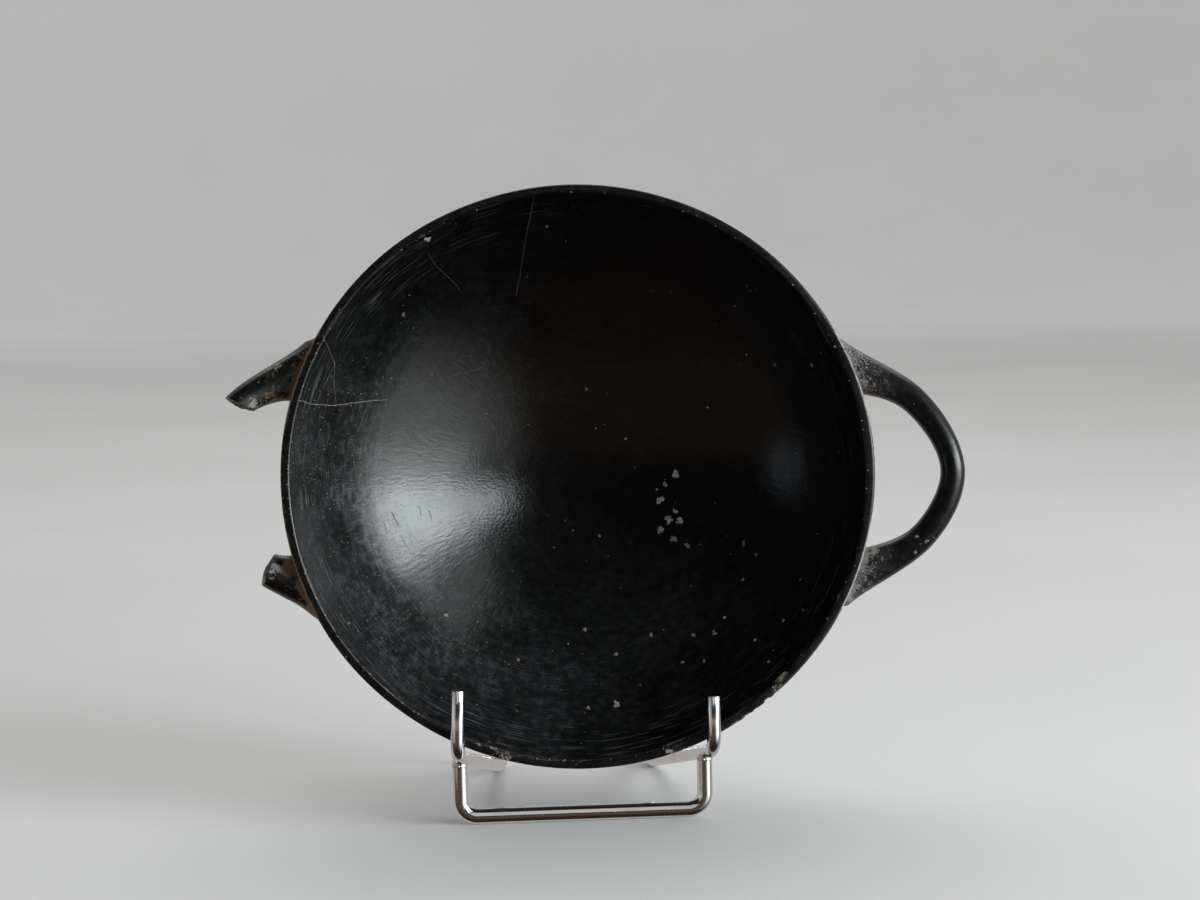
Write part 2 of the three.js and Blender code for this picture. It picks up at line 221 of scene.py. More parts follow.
@dataclass(frozen=True)
class BurnishedClay(Finish):
    """Black clay burnished to a half gloss, scratched, scuffed, with lime and earth left on it, and painted
    reflections in its grey scuffing and its brown tint.
    """

    name: str = "burnished_black_clay"
    black: Colour = (0.0009, 0.0009, 0.00085, 1)
    # brown of stains on the outside, and of a painted reflection of warm ground inside the bowl's upper right
    brown_stain_and_reflection: Colour = (0.0030, 0.0016, 0.0009, 1)
    # grey of real scuffing, made bluish as a painted reflection of window light in the burnish's fine relief
    scuff_and_sheen_grey: Colour = (0.066, 0.070, 0.073, 1)
    pale_wear: Colour = (0.085, 0.085, 0.08, 1)
    lime: Colour = (0.3, 0.28, 0.245, 1)
    earth: Colour = (0.115, 0.057, 0.026, 1)
    powder: Colour = (0.24, 0.235, 0.22, 1)
    refraction: float = 1.5
    cloud_scale: float = 48
    drift_scale: float = 170
    flake_scale: float = 620
    grain_scale: float = 1500
    powder_scale: float = 2400
    crust_scale: float = 2600
    soft_scale: float = 80
    smear_scale: float = 480
    fleck_scale: float = 3200
    wheel_stretch: Stretch = (9, 9, 300)
    cross_stretch: Stretch = (120, 120, 22)
    facet_stretch: Stretch = (46, 46, 30)
    hair_stretch: Stretch = (5, 5, 260)
    hair_patch_stretch: Stretch = (7, 7, 40)
    facet_depth: float = 0.00006
    stroke_depth: float = 0.00002
    crust_depth: float = 0.00025

    def shade(self, bench: Bench, shader: Node) -> None:
        """Lay the clay's nodes: colour, gloss and relief."""
        place = bench.place()
        wheel = bench.painted("wheel", "Vector")
        cloud = bench.noise(place, self.cloud_scale, 4)
        grain = bench.noise(place, self.grain_scale, 3)
        drift = bench.noise(place, self.drift_scale, 4, 0.4)
        flake = bench.noise(place, self.flake_scale, 5, 0.3)
        strokes = bench.streaks(wheel, self.wheel_stretch, 3)
        cross = bench.streaks(wheel, self.cross_stretch, 3)
        facets = bench.streaks(wheel, self.facet_stretch, 3)

        # grey wear: scuffing and rim scratches, partly a painted reflection of window light in the fine
        # relief
        worn = self.worn(bench, wheel, strokes, cross)
        broken_edge = bench.blend((0.5, drift), (1.5, flake), (0.8, grain))
        lime = self.crusted(bench, "lime", broken_edge, 1.7, 2.15)
        earth = self.crusted(bench, "earth", broken_edge, 1.62, 2.1)
        lip_edge = bench.blend((0.9, grain), (0.7, flake))
        lip = self.crusted(bench, "lip_wear", lip_edge, 1.1, 1.5)
        speckle = bench.plus(bench.noise(place, self.powder_scale, 2), bench.times(0.7, flake))
        powder = self.crusted(bench, "powder", speckle, 0.95, 1.3)

        # brown tint: painted reflection of warm ground in the bowl's upper right, brown stains on the left
        # lip
        brown = bench.rise(bench.plus(bench.painted("brown"), bench.times(0.8, cloud)), 0.45, 1.1)
        colour = bench.tint(brown, self.black, self.brown_stain_and_reflection)
        for cover, tone in (
            (worn, self.scuff_and_sheen_grey), (powder, self.powder), (earth, self.earth),
            (lip, self.pale_wear), (lime, self.lime),
        ):
            colour = bench.tint(cover, colour, tone)
        bench.feed(shader.inputs["Base Color"], colour)

        outside = bench.maths("SUBTRACT", 1.0, bench.painted("wheel_strokes"))
        burnish = bench.plus(bench.rise(drift, 0.3, 0.75, 0.11, 0.17), bench.times(0.06, strokes))
        gloss = bench.plus(burnish, bench.times(0.3, worn), bench.times(0.09, outside))
        rubbed = bench.plus(bench.times(0.6, lip), bench.painted("lip_wear"))
        matt = bench.most(lime, bench.times(0.85, earth), rubbed, bench.times(0.7, powder))
        bench.feed(shader.inputs["Roughness"], bench.maths("MAXIMUM", gloss, bench.times(0.9, matt)))

        fine = bench.blend((0.5, strokes), (0.35, cross), (0.3, grain))
        crusty = bench.most(bench.painted("lime"), bench.times(0.6, bench.painted("earth")))
        crust = bench.times(crusty, bench.noise(place, self.crust_scale, 3))
        normal = bench.bump(facets, self.facet_depth, 0.8)
        normal = bench.bump(fine, self.stroke_depth, 0.8, normal)
        bench.feed(shader.inputs["Normal"], bench.bump(crust, self.crust_depth, 0.7, normal))
        shader.inputs["IOR"].default_value = self.refraction

    def crusted(self, bench: Bench, mark: str, broken: Value, low: float, high: float) -> Socket:
        """Cover of a crust, from 0 to 1: mark and broken noise start it at low and fill it at high."""
        weight = bench.painted(mark)
        return bench.times(bench.rise(bench.plus(weight, broken), low, high), bench.rise(weight, 0.02, 0.12))

    def worn(self, bench: Bench, wheel: Socket, strokes: Socket, cross: Socket) -> Socket:
        """How far the burnish is scuffed away, with a painted reflection of window light in its fine relief
        laid in the same grey.

        Args:
            bench: the material's tree.
            wheel: coordinates along the wheel's way and across it.
            strokes: streaks along the wheel.
            cross: streaks across it.

        Returns:
            The socket of the scuffing and its painted reflection, from 0 to 1.
        """
        place = bench.place()
        soft = bench.rise(bench.noise(place, self.soft_scale, 2), 0.28, 0.7, 0.45, 1.0)
        smear = bench.rise(bench.noise(place, self.smear_scale, 5), 0.38, 0.78)
        fleck = bench.rise(bench.noise(place, self.fleck_scale, 2), 0.56, 0.74)
        # streaks and flecks of the grey: real scuffing, with painted glints of window light along the burnish
        # strokes
        along = bench.times(bench.painted("wheel_strokes"), bench.rise(strokes, 0.48, 0.76))
        across = bench.times(bench.painted("cross_strokes"), bench.rise(cross, 0.48, 0.78))
        parts = ((0.38, smear), (0.36, along), (0.3, across), (0.32, fleck))
        texture = bench.plus(0.14, *(bench.times(share, part) for share, part in parts))
        cloudy = bench.times(bench.painted("scuff"), soft, texture)
        hair = bench.streaks(wheel, self.hair_stretch, 2)
        patch = bench.rise(bench.streaks(wheel, self.hair_patch_stretch, 2), 0.4, 0.62)
        rings = bench.times(bench.painted("rim_scratches"), bench.rise(hair, 0.54, 0.7), patch)
        return bench.most(cloudy, rings)


@dataclass(frozen=True)
class BrokenClay(Finish):
    """Raw clay of chips and broken handles, dulled by earth and lime."""

    name: str = "broken_clay"
    dark: Colour = (0.016, 0.013, 0.011, 1)
    warm: Colour = (0.09, 0.056, 0.034, 1)
    pale: Colour = (0.24, 0.215, 0.18, 1)
    roughness: float = 0.88
    drift_scale: float = 420
    grit_scale: float = 2800
    grit_depth: float = 0.00018

    def shade(self, bench: Bench, shader: Node) -> None:
        """Lay the broken clay's nodes: mottled colour and a gritty relief."""
        place = bench.place()
        drift = bench.noise(place, self.drift_scale, 4, 0.5)
        grit = bench.noise(place, self.grit_scale, 3)
        mottled = bench.plus(drift, bench.times(0.6, grit))
        colour = bench.tint(bench.rise(drift, 0.42, 0.68), self.dark, self.warm)
        colour = bench.tint(bench.rise(mottled, 0.8, 1.0), colour, self.pale)
        bench.feed(shader.inputs["Base Color"], colour)
        bench.feed(shader.inputs["Normal"], bench.bump(grit, self.grit_depth, 0.8))
        shader.inputs["Roughness"].default_value = self.roughness


@dataclass(frozen=True)
class LimeDeposit(Finish):
    """Lime and earth grown on the clay in spots and in cracks, and the dark of bare scores."""

    name: str = "lime_deposit"
    pale: Colour = (0.21, 0.2, 0.178, 1)
    tan: Colour = (0.1, 0.08, 0.058, 1)
    rust: Colour = (0.095, 0.046, 0.021, 1)
    bare: Colour = (0.004, 0.004, 0.004, 1)
    roughness: float = 0.92
    drift_scale: float = 900
    grit_scale: float = 5200
    grit_depth: float = 0.0001

    def shade(self, bench: Bench, shader: Node) -> None:
        """Lay the deposit's nodes: each lump has its own tone, and all of them are gritty."""
        place = bench.place()
        tone = bench.painted("tone")
        mottled = bench.plus(tone, bench.times(0.5, bench.noise(place, self.drift_scale, 3)))
        colour = bench.tint(bench.rise(mottled, 0.4, 0.85), self.pale, self.tan)
        colour = bench.tint(bench.rise(tone, 0.72, 0.9), colour, self.rust)
        colour = bench.tint(bench.rise(tone, 1.3, 1.6), colour, self.bare)
        bench.feed(shader.inputs["Base Color"], colour)
        grit = bench.noise(place, self.grit_scale, 3)
        bench.feed(shader.inputs["Normal"], bench.bump(grit, self.grit_depth, 0.6))
        shader.inputs["Roughness"].default_value = self.roughness


@dataclass(frozen=True)
class ChromePlate(Finish):
    """Bright chrome on drawn wire, with faint draw lines, smears and pits."""

    name: str = "chrome_plate"
    bright: Colour = (0.74, 0.74, 0.75, 1)
    dull: Colour = (0.5, 0.48, 0.46, 1)
    smear_scale: float = 130
    wave_scale: float = 420
    pit_scale: float = 2400
    relief_depth: float = 0.00003

    def shade(self, bench: Bench, shader: Node) -> None:
        """Lay the chrome's nodes: smeared tone, uneven gloss and pits."""
        place = bench.place()
        smear = bench.noise(place, self.smear_scale, 4, 0.6)
        pits = bench.rise(bench.noise(place, self.pit_scale, 1), 0.70, 0.78)
        colour = bench.tint(bench.most(bench.rise(smear, 0.55, 0.8, 0, 0.5), pits), self.bright, self.dull)
        bench.feed(shader.inputs["Base Color"], colour)
        gloss = bench.plus(bench.rise(smear, 0.35, 0.75, 0.07, 0.17), bench.times(0.3, pits))
        bench.feed(shader.inputs["Roughness"], gloss)
        relief = bench.plus(bench.noise(place, self.wave_scale, 2), bench.times(-0.6, pits))
        bench.feed(shader.inputs["Normal"], bench.bump(relief, self.relief_depth, 0.5))
        shader.inputs["Metallic"].default_value = 1.0


@dataclass(frozen=True)
class PaleFloor(Finish):
    """Matt pale floor of the studio."""

    name: str = "pale_floor"
    light: Colour = (0.66, 0.655, 0.645, 1)
    shade_tone: Colour = (0.62, 0.615, 0.605, 1)
    white: Colour = (1, 1, 1, 1)
    roughness: float = 0.7
    cloud_scale: float = 3
    far_glow: float = 0.26
    glow_reach: tuple[float, float] = (0.5, 3.6)

    def shade(self, bench: Bench, shader: Node) -> None:
        """Lay the floor's nodes: two near tones in soft clouds, and a glow that keeps the distance pale."""
        place = bench.place()
        cloud = bench.rise(bench.noise(place, self.cloud_scale, 3), 0.3, 0.7)
        bench.feed(shader.inputs["Base Color"], bench.tint(cloud, self.light, self.shade_tone))
        away = bench.node("ShaderNodeVectorMath", {0: place}, operation="LENGTH")
        glow = bench.rise(away.outputs["Value"], *self.glow_reach, 0, self.far_glow)
        bench.feed(shader.inputs["Emission Strength"], glow)
        shader.inputs["Emission Color"].default_value = self.white
        shader.inputs["Roughness"].default_value = self.roughness


@dataclass
class Skin:
    """Points and faces of a mesh in the making."""

    points: Array
    faces: list[tuple[int, ...]]

    def piece(self, name: str, *finishes: Finish, smooth: bool = True) -> Piece:
        """Make an object of the skin.

        Args:
            name: the object's name.
            finishes: finishes for its material slots.
            smooth: whether its faces are shaded as one curved surface.

        Returns:
            The object, linked to the scene, at the origin.
        """
        mesh = bpy.data.meshes.new(name)
        mesh.from_pydata(self.points.tolist(), [], self.faces)
        mesh.polygons.foreach_set("use_smooth", [smooth] * len(mesh.polygons))
        for finish in finishes:
            mesh.materials.append(finish.material())
        mesh.validate()
        return placed(name, mesh)


def placed(name: str, data: bpy.types.ID) -> Piece:
    """A new object of given data, at the origin and linked to the scene."""
    made = bpy.data.objects.new(name, data)
    bpy.context.scene.collection.objects.link(made)
    return made


def bent(start: tuple, pull: tuple, end: tuple, steps: int) -> Array:
    """Points on a curve that leaves its start towards a point and comes to its end from it.

    Args:
        start: first point, which is left out of the result.
        pull: point that the curve bends towards.
        end: last point.
        steps: number of points.

    Returns:
        An array of points.
    """
    share = np.linspace(0, 1, steps + 1)[1:, None]
    first, middle, last = (np.asarray(point, float) for point in (start, pull, end))
    return (1 - share) ** 2 * first + 2 * share * (1 - share) * middle + share**2 * last


def turned(profile: Array, sides: int, oval: float) -> Skin:
    """A closed solid turned about the cup's axis.

    Args:
        profile: radius and height of its points, from the axis back to the axis.
        sides: number of columns round the axis.
        oval: width along Y as a share of that along X.

    Returns:
        The skin, with its faces pointing outwards.
    """
    angle = np.linspace(0, 2 * math.pi, sides, endpoint=False)
    radius, height = profile[1:-1, 0:1], profile[1:-1, 1:2]
    rows = np.stack([radius * np.cos(angle), oval * radius * np.sin(angle), height + 0 * angle], axis=-1)
    poles = np.array([[0, 0, profile[0, 1]], [0, 0, profile[-1, 1]]])
    points = np.concatenate([rows.reshape(-1, 3), poles])
    count = len(radius)
    first, last = count * sides, count * sides + 1
    faces: list[tuple[int, ...]] = []
    for column in range(sides):
        beside = (column + 1) % sides
        faces.append((first, column, beside))
        faces.append((last, (count - 1) * sides + beside, (count - 1) * sides + column))
        for row in range(0, (count - 1) * sides, sides):
            faces.append((row + column, row + sides + column, row + sides + beside, row + beside))
    return Skin(points, faces)


def skinned(rings: list[Array]) -> Skin:
    """A closed skin over a row of rings with equally many points, with a fan over each end.

    Args:
        rings: the rings, each turning the same way.

    Returns:
        The skin.
    """
    sides = len(rings[0])
    points = np.concatenate([*rings, [rings[0].mean(axis=0)], [rings[-1].mean(axis=0)]])
    start, end, last = len(points) - 2, len(points) - 1, (len(rings) - 1) * sides
    faces: list[tuple[int, ...]] = []
    for side in range(sides):
        beside = (side + 1) % sides
        for ring in range(0, last, sides):
            faces.append((ring + side, ring + beside, ring + sides + beside, ring + sides + side))
        faces.append((start, beside, side))
        faces.append((end, last + side, last + beside))
    return Skin(points, faces)


def smooth_line(knots: Array, count: int) -> Array:
    """Evenly spaced points on a smooth curve through a few knots.

    Args:
        knots: points that the curve passes.
        count: number of points wanted.

    Returns:
        The points, from the first knot to the last.
    """
    fine = np.linspace(0, 1, 160, endpoint=False)[:, None]
    padded = np.concatenate([[2 * knots[0] - knots[1]], knots, [2 * knots[-1] - knots[-2]]])
    dense = []
    for before, here, there, after in zip(padded, padded[1:], padded[2:], padded[3:]):
        gaps = [math.sqrt(np.linalg.norm(b - a)) for a, b in ((before, here), (here, there), (there, after))]
        leave = (here - before) / gaps[0] - (there - before) / (gaps[0] + gaps[1]) + (there - here) / gaps[1]
        arrive = (there - here) / gaps[1] - (after - here) / (gaps[1] + gaps[2]) + (after - there) / gaps[2]
        leave, arrive = leave * gaps[1], arrive * gaps[1]
        square, cube = 3 * (there - here) - 2 * leave - arrive, 2 * (here - there) + leave + arrive
        dense.append(here + leave * fine + square * fine**2 + cube * fine**3)
    dense = np.concatenate([*dense, knots[-1:]])
    run = np.concatenate([[0], np.cumsum(np.linalg.norm(np.diff(dense, axis=0), axis=1))])
    stops = np.linspace(0, run[-1], count)
    return np.stack([np.interp(stops, run, dense[:, axis]) for axis in range(3)], axis=-1)


def unit(vectors: Array) -> Array:
    """Vectors brought to length 1."""
    return vectors / np.maximum(np.linalg.norm(vectors, axis=-1, keepdims=True), 1e-12)


def bell(off: Array, reach: float) -> Array:
    """Soft weight that is 1 in the middle and has fallen to about a third at a distance."""
    return np.exp(-((off / reach) ** 2))


def sector(angle: Array, middle: float, half: float) -> Array:
    """Soft weight, from 0 to 1, of a stretch round the cup: its middle and half width, in degrees."""
    off = (angle - middle + 180) % 360 - 180
    return bell(off, half)


@dataclass(frozen=True)
class Sphere:
    """A sphere on the cup's axis that gives a wall its curve."""

    middle: float
    size: float

    @classmethod
    def through(cls, low: float, radius: float, height: float) -> "Sphere":
        """The sphere that rises from a point on the axis through a point of the profile.

        Args:
            low: height of its lowest point.
            radius: radius of the point it passes.
            height: height of that point.

        Returns:
            The sphere.
        """
        rise = height - low
        size = (radius**2 + rise**2) / (2 * rise)
        return cls(low + size, size)

    def arc(self, start: float, end: float, steps: int) -> Array:
        """Radius and height of so many profile points between two radii."""
        turn = np.linspace(math.asin(start / self.size), math.asin(end / self.size), steps)
        return np.stack([self.size * np.sin(turn), self.middle - self.size * np.cos(turn)], axis=-1)

    def off(self, points: Array, oval: float) -> Array:
        """How far points lie outside the sphere, once an oval cup is made round."""
        round_points = points / np.array([1, oval, 1]) - np.array([0, 0, self.middle])
        return np.linalg.norm(round_points, axis=-1) - self.size


@dataclass(frozen=True)
class EaselPlan:
    """Sizes of the wire easel, which the cup's place depends on."""

    wire_radius: float = 0.00175
    foot_wire_radius: float = 0.00195
    weld_gap: float = 0.0003
    hook_spacing: float = 0.0644
    hook_y: float = -0.0055
    hook_corner_heights: tuple[float, float] = (0.0186, 0.01825)
    hook_tip_heights: tuple[float, float] = (0.0358, 0.0324)
    hook_tip_insets: tuple[float, float] = (0.0006, 0.0)
    hook_bend: float = 0.0055
    rear_spacing: float = 0.0408
    rear_bend: float = 0.006
    rear_height: float = 0.00022
    upright_length: float = 0.108
    rail_height: float = 0.1
    rail_length: float = 0.052
    foot_bend: float = 0.0042
    post_shifts: tuple[float, float] = (-0.0005, -0.00095)


@dataclass(frozen=True)
class Place:
    """How the cup leans in the easel."""

    easel: EaselPlan
    lean: float = math.radians(8)
    rim_low_point: float = 0.0143
    shift: float = 0.00035

    def mouth_way(self) -> Vector:
        """The way the mouth faces."""
        return Vector((0, -math.cos(self.lean), math.sin(self.lean)))

    def up_way(self) -> Vector:
        """The way up the rim and the uprights."""
        return Vector((0, math.sin(self.lean), math.cos(self.lean)))

    def rim_middle(self, rim_radius: float, rim_drop: float) -> Vector:
        """Middle of the rim.

        Args:
            rim_radius: half the rim's width along X.
            rim_drop: rim's middle to its lowest point.

        Returns:
            The point.
        """
        easel = self.easel
        touch = math.sqrt(1 - (easel.hook_spacing / 2 / rim_radius) ** 2) * rim_drop
        forward = easel.hook_y + easel.wire_radius + easel.weld_gap + touch * math.sin(self.lean)
        return Vector((self.shift, forward, self.rim_low_point + rim_drop * math.cos(self.lean)))


@dataclass(frozen=True)
class Handle:
    """A handle: knots of its middle line from the upper root to the lower one, and its roots' smear."""

    roots: tuple[tuple[float, float], tuple[float, float]]
    shoulders: tuple[tuple[float, float], tuple[float, float]]
    tip: tuple[float, float]
    smear: float
    root_drop: float = 0.0105
    shoulder_drop: float = 0.0051
    tip_drop: float = 0.0015

    def line(self, height: float, count: int) -> Array:
        """The middle line.

        Args:
            height: height of the rim.
            count: number of points.

        Returns:
            The points.
        """
        upper, lower = self.roots
        above, below = self.shoulders
        drops = (self.root_drop, self.shoulder_drop, self.tip_drop, self.shoulder_drop, self.root_drop)
        flat = (upper, above, self.tip, below, lower)
        knots = [(*spot, height - drop) for spot, drop in zip(flat, drops)]
        return smooth_line(np.array(knots), count)


@dataclass(frozen=True)
class Fracture:
    """Broken face of a handle: a point on it, seen from above, the way it looks, and how far it bulges."""

    spot: tuple[float, float]
    facing: tuple[float, float, float]
    bulge: float
    bulge_reach: float = 0.0042
    roughness: float = 0.0007
    coarse_scale: float = 190
    fine_scale: float = 700
    block_steps: int = 40
    block_half: float = 0.011
    block_depth: float = 0.03


@dataclass(frozen=True)
class Chip:
    """A flake lost from the lip."""

    angle: float
    length: float
    depth: float
    edge: LipEdge


@dataclass
class Cup:
    """The kylix, fired as one piece: bowl, foot, whole handle, and the stumps of the broken one."""

    place: Place
    rim_radius: float = 0.0752
    oval: float = 0.983
    height: float = 0.062
    lip_width: float = 0.0022
    lip_round: float = 0.0008
    arris_round: float = 0.0004
    bowl_depth: float = 0.0443
    floor_thickness: float = 0.0052
    stem_radius: float = 0.0175
    foot_radius: float = 0.03
    foot_edge: float = 0.0032
    foot_edge_round: float = 0.001
    foot_sweep: tuple[float, float] = (0.002, 0.003)
    foot_ring: float = 0.005
    foot_hollow: float = 0.0085
    hollow_shoulder: float = 0.75
    handle_widths: tuple[float, float] = (0.0063, 0.0139)
    handle_thicknesses: tuple[float, float] = (0.0062, 0.0082)
    handle_flare: float = 3.0
    handle_bury: tuple[float, float] = (0.002, 0.009)
    fillet: float = 0.0026
    fillet_bite: float = 0.0003
    wheel_core: float = 0.03
    sway: tuple[tuple[float, int, float], ...] = ((0.0011, 3, 0.7), (0.0008, 5, 2.2), (0.0005, 9, 0.0))
    rim_wave: float = 0.00014
    ridge_height: float = 0.0000055
    ridge_pitches: tuple[float, float] = (0.00085, 0.00046)
    ridge_reach: float = 0.0006
    ridge_end: float = 0.001
    trim_depth: float = 0.0014
    trim_drop: float = 0.001
    past_break: int = 24
    columns: int = 320
    handle_sides: int = 44
    handle_steps: int = 120
    right: Handle = Handle(
        roots=((0.066, 0.0276), (0.066, -0.0293)),
        shoulders=((0.0866, 0.0171), (0.0879, -0.018)),
        tip=(0.0955, -0.0012),
        smear=0.0014,
    )
    left: Handle = Handle(
        roots=((-0.066, 0.0297), (-0.066, -0.0274)),
        shoulders=((-0.0862, 0.0196), (-0.0848, -0.0181)),
        tip=(-0.0955, 0.0012),
        smear=0.0042,
    )
    upper_break: Fracture = Fracture((-0.085, 0.02), (-0.47, -0.88, 0.1), 0.0008)
    lower_break: Fracture = Fracture((-0.079, -0.0223), (-0.94, 0.33, 0.15), 0.0008)
    chips: tuple[Chip, ...] = (
        Chip(-59.5, 0.0040, 0.0007, LipEdge.OUTER),
        Chip(-57.0, 0.0024, 0.0010, LipEdge.OUTER),
        Chip(-54.8, 0.0034, 0.0008, LipEdge.OUTER),
        Chip(-52.2, 0.0026, 0.0011, LipEdge.OUTER),
        Chip(-50.0, 0.0030, 0.0007, LipEdge.OUTER),
        Chip(-47.2, 0.0044, 0.0009, LipEdge.INNER),
        Chip(-71.3, 0.0042, 0.0006, LipEdge.OUTER),
        Chip(-106.2, 0.0070, 0.0009, LipEdge.INNER),
        Chip(-111.5, 0.0022, 0.0005, LipEdge.INNER),
        Chip(-79.0, 0.0018, 0.0004, LipEdge.OUTER),
        Chip(-93.0, 0.0016, 0.0004, LipEdge.OUTER),
        Chip(-140.0, 0.0016, 0.0004, LipEdge.INNER),
        Chip(-147.5, 0.0022, 0.0004, LipEdge.INNER),
        Chip(121.5, 0.0026, 0.0005, LipEdge.INNER),
        Chip(147.5, 0.0012, 0.0004, LipEdge.INNER),
        Chip(90.0, 0.0012, 0.0004, LipEdge.INNER),
        Chip(83.5, 0.0009, 0.0004, LipEdge.INNER),
        Chip(56.0, 0.0012, 0.0003, LipEdge.OUTER),
        Chip(24.0, 0.0014, 0.0003, LipEdge.OUTER),
    )
    clay: BurnishedClay = BurnishedClay()
    broken: BrokenClay = BrokenClay()
    inner: Sphere = field(init=False)
    outer: Sphere = field(init=False)

    def __post_init__(self) -> None:
        """Work out the two spheres of the wall."""
        self.inner = Sphere.through(self.height - self.bowl_depth, self.mouth(), self.height)
        low = self.height - self.bowl_depth - self.floor_thickness
        self.outer = Sphere.through(low, self.rim_radius, self.height - self.lip_round)

    def mouth(self) -> float:
        """Radius of the lip's inner edge."""
        return self.rim_radius - self.lip_width

    def to_easel(self) -> Matrix:
        """Turn and shift from the cup's own frame to the easel's."""
        middle = self.place.rim_middle(self.rim_radius, self.rim_radius * self.oval)
        foot = middle - self.height * self.place.mouth_way()
        return Matrix.Translation(foot) @ Matrix.Rotation(math.pi / 2 - self.place.lean, 4, "X")

    def profile(self) -> Array:
        """Section of the bowl and foot, from the middle of the bowl over the lip to the hollow foot."""
        top, rim, mouth = self.height, self.rim_radius, self.mouth()
        rounded = self.inner.arc(0, mouth - self.arris_round * 0.6, 84)
        arris = bent(rounded[-1], (mouth, top), (mouth + self.arris_round, top), 5)
        lip_end = (rim - self.lip_round, top)
        flat = np.linspace(arris[-1], lip_end, 5)[1:]
        outer_edge = bent(lip_end, (rim, top), (rim, top - self.lip_round), 6)
        wall = self.outer.arc(rim, self.stem_radius, 50)[1:]
        edge = self.foot_radius - self.foot_edge_round
        ring = self.foot_radius - self.foot_ring
        sweep = (self.stem_radius + self.foot_sweep[0], self.foot_edge + self.foot_sweep[1])
        return np.concatenate([
            rounded, arris, flat, outer_edge, wall,
            bent(wall[-1], sweep, (edge, self.foot_edge), 12),
            bent((edge, self.foot_edge), (edge + 2 * self.foot_edge_round, self.foot_edge / 2), (edge, 0), 6),
            np.linspace((edge, 0), (ring, 0), 3)[1:],
            bent((ring, 0), (ring * self.hollow_shoulder, self.foot_hollow), (0, self.foot_hollow), 12),
        ])

    def thrown(self) -> Skin:
        """Bowl and foot, with the small unevenness of a pot thrown and burnished by hand."""
        skin = turned(self.profile(), self.columns, self.oval)
        points = skin.points
        angle = np.arctan2(points[:, 1], points[:, 0])
        radius = np.hypot(points[:, 0], points[:, 1])
        reach = (radius / self.rim_radius) ** 2
        sway = sum(size * np.sin(waves * angle + start) for size, waves, start in self.sway)
        points[:, :2] *= (1 + sway * reach)[:, None]
        points[:, 2] += reach**2 * self.rim_wave * (np.sin(2 * angle + 1.1) + 0.6 * np.sin(7 * angle + 0.4))
        near_wall = bell(self.inner.off(points, self.oval), self.ridge_reach)
        near_wall *= points[:, 2] < self.height - self.ridge_end
        run = self.inner.size * np.arctan2(radius, self.inner.middle - points[:, 2])
        coarse, fine = self.ridge_pitches
        rings = np.sin(run / coarse + 0.9 * np.sin(angle + 1)) + 0.7 * np.sin(run / fine + np.sin(2 * angle))
        inward = unit(np.array([0, 0, self.inner.middle]) - points)
        points += inward * (self.ridge_height * rings * near_wall)[:, None]
        return skin

    def handle_rings(self, line: Array, shares: Array) -> list[Array]:
        """Rings round a handle, wider towards the roots.

        Args:
            line: points of the middle line.
            shares: share of the whole handle's length at each of them.

        Returns:
            The rings.
        """
        along = unit(np.gradient(line, axis=0))
        across = unit(np.cross([0, 0, 1], along))
        upright = np.cross(along, across)
        flare = np.abs(2 * shares - 1) ** self.handle_flare
        width = np.interp(flare, (0, 1), self.handle_widths) / 2
        thickness = np.interp(flare, (0, 1), self.handle_thicknesses) / 2
        turn = np.linspace(0, 2 * math.pi, self.handle_sides, endpoint=False)
        rings = []
        for step in range(len(line)):
            hand = 1 + 0.018 * np.sin(3 * turn + 5 * shares[step]) + 0.02 * math.sin(23 * shares[step])
            side = across[step] * np.cos(turn)[:, None] * width[step]
            top = upright[step] * np.sin(turn)[:, None] * thickness[step]
            rings.append(line[step] + (side + top) * hand[:, None])
        return rings

    def filleted(self, ring: Array, smear: float) -> Array:
        """A ring spread along the wall where it comes near to it, and along the lip where it passes under it.

        Args:
            ring: its points.
            smear: how far it spreads along the lip.

        Returns:
            The spread points.
        """
        middle = ring.mean(axis=0)
        gap = np.clip(self.outer.off(ring, self.oval) + self.fillet_bite, 0, self.fillet)
        spread = self.fillet - np.sqrt(self.fillet**2 - (self.fillet - gap) ** 2)
        wall = unit(ring - np.array([0, 0, self.outer.middle]))
        outward = unit(ring - middle)
        slide = outward - wall * np.sum(outward * wall, axis=1)[:, None]
        past_lip = np.clip(np.hypot(ring[:, 0], ring[:, 1] / self.oval) - self.rim_radius, 0, smear)
        smeared = smear - np.sqrt(smear**2 - (smear - past_lip) ** 2)
        rimwise = unit(np.cross([0, 0, 1], ring * np.array([1, 1, 0])))
        rimwise *= np.sign(rimwise[:, 1] * middle[1])[:, None]
        aside = np.sum((ring - middle) * rimwise, axis=1)
        share = np.clip(aside / (0.7 * np.abs(aside).max()), -0.45, 1)
        lower = np.clip(0.65 + (ring[:, 2] - middle[2]) / self.handle_thicknesses[1], 0.2, 1)
        return ring + slide * spread[:, None] + rimwise * (smeared * share * lower)[:, None]

    def buried(self, ring: Array, along: Array) -> list[Array]:
        """Rings that carry a root on into the wall.

        Args:
            ring: the root's ring.
            along: the way from the root into the wall along the handle.

        Returns:
            The rings, from the root inwards.
        """
        middle = ring.mean(axis=0)
        inward = -unit(middle * np.array([1, 1, 0]))
        on, deep = self.handle_bury
        path = bent((0, 0, 0), on * along, on * along + deep * inward, 18)
        return [ring + step for step in path[1:]]

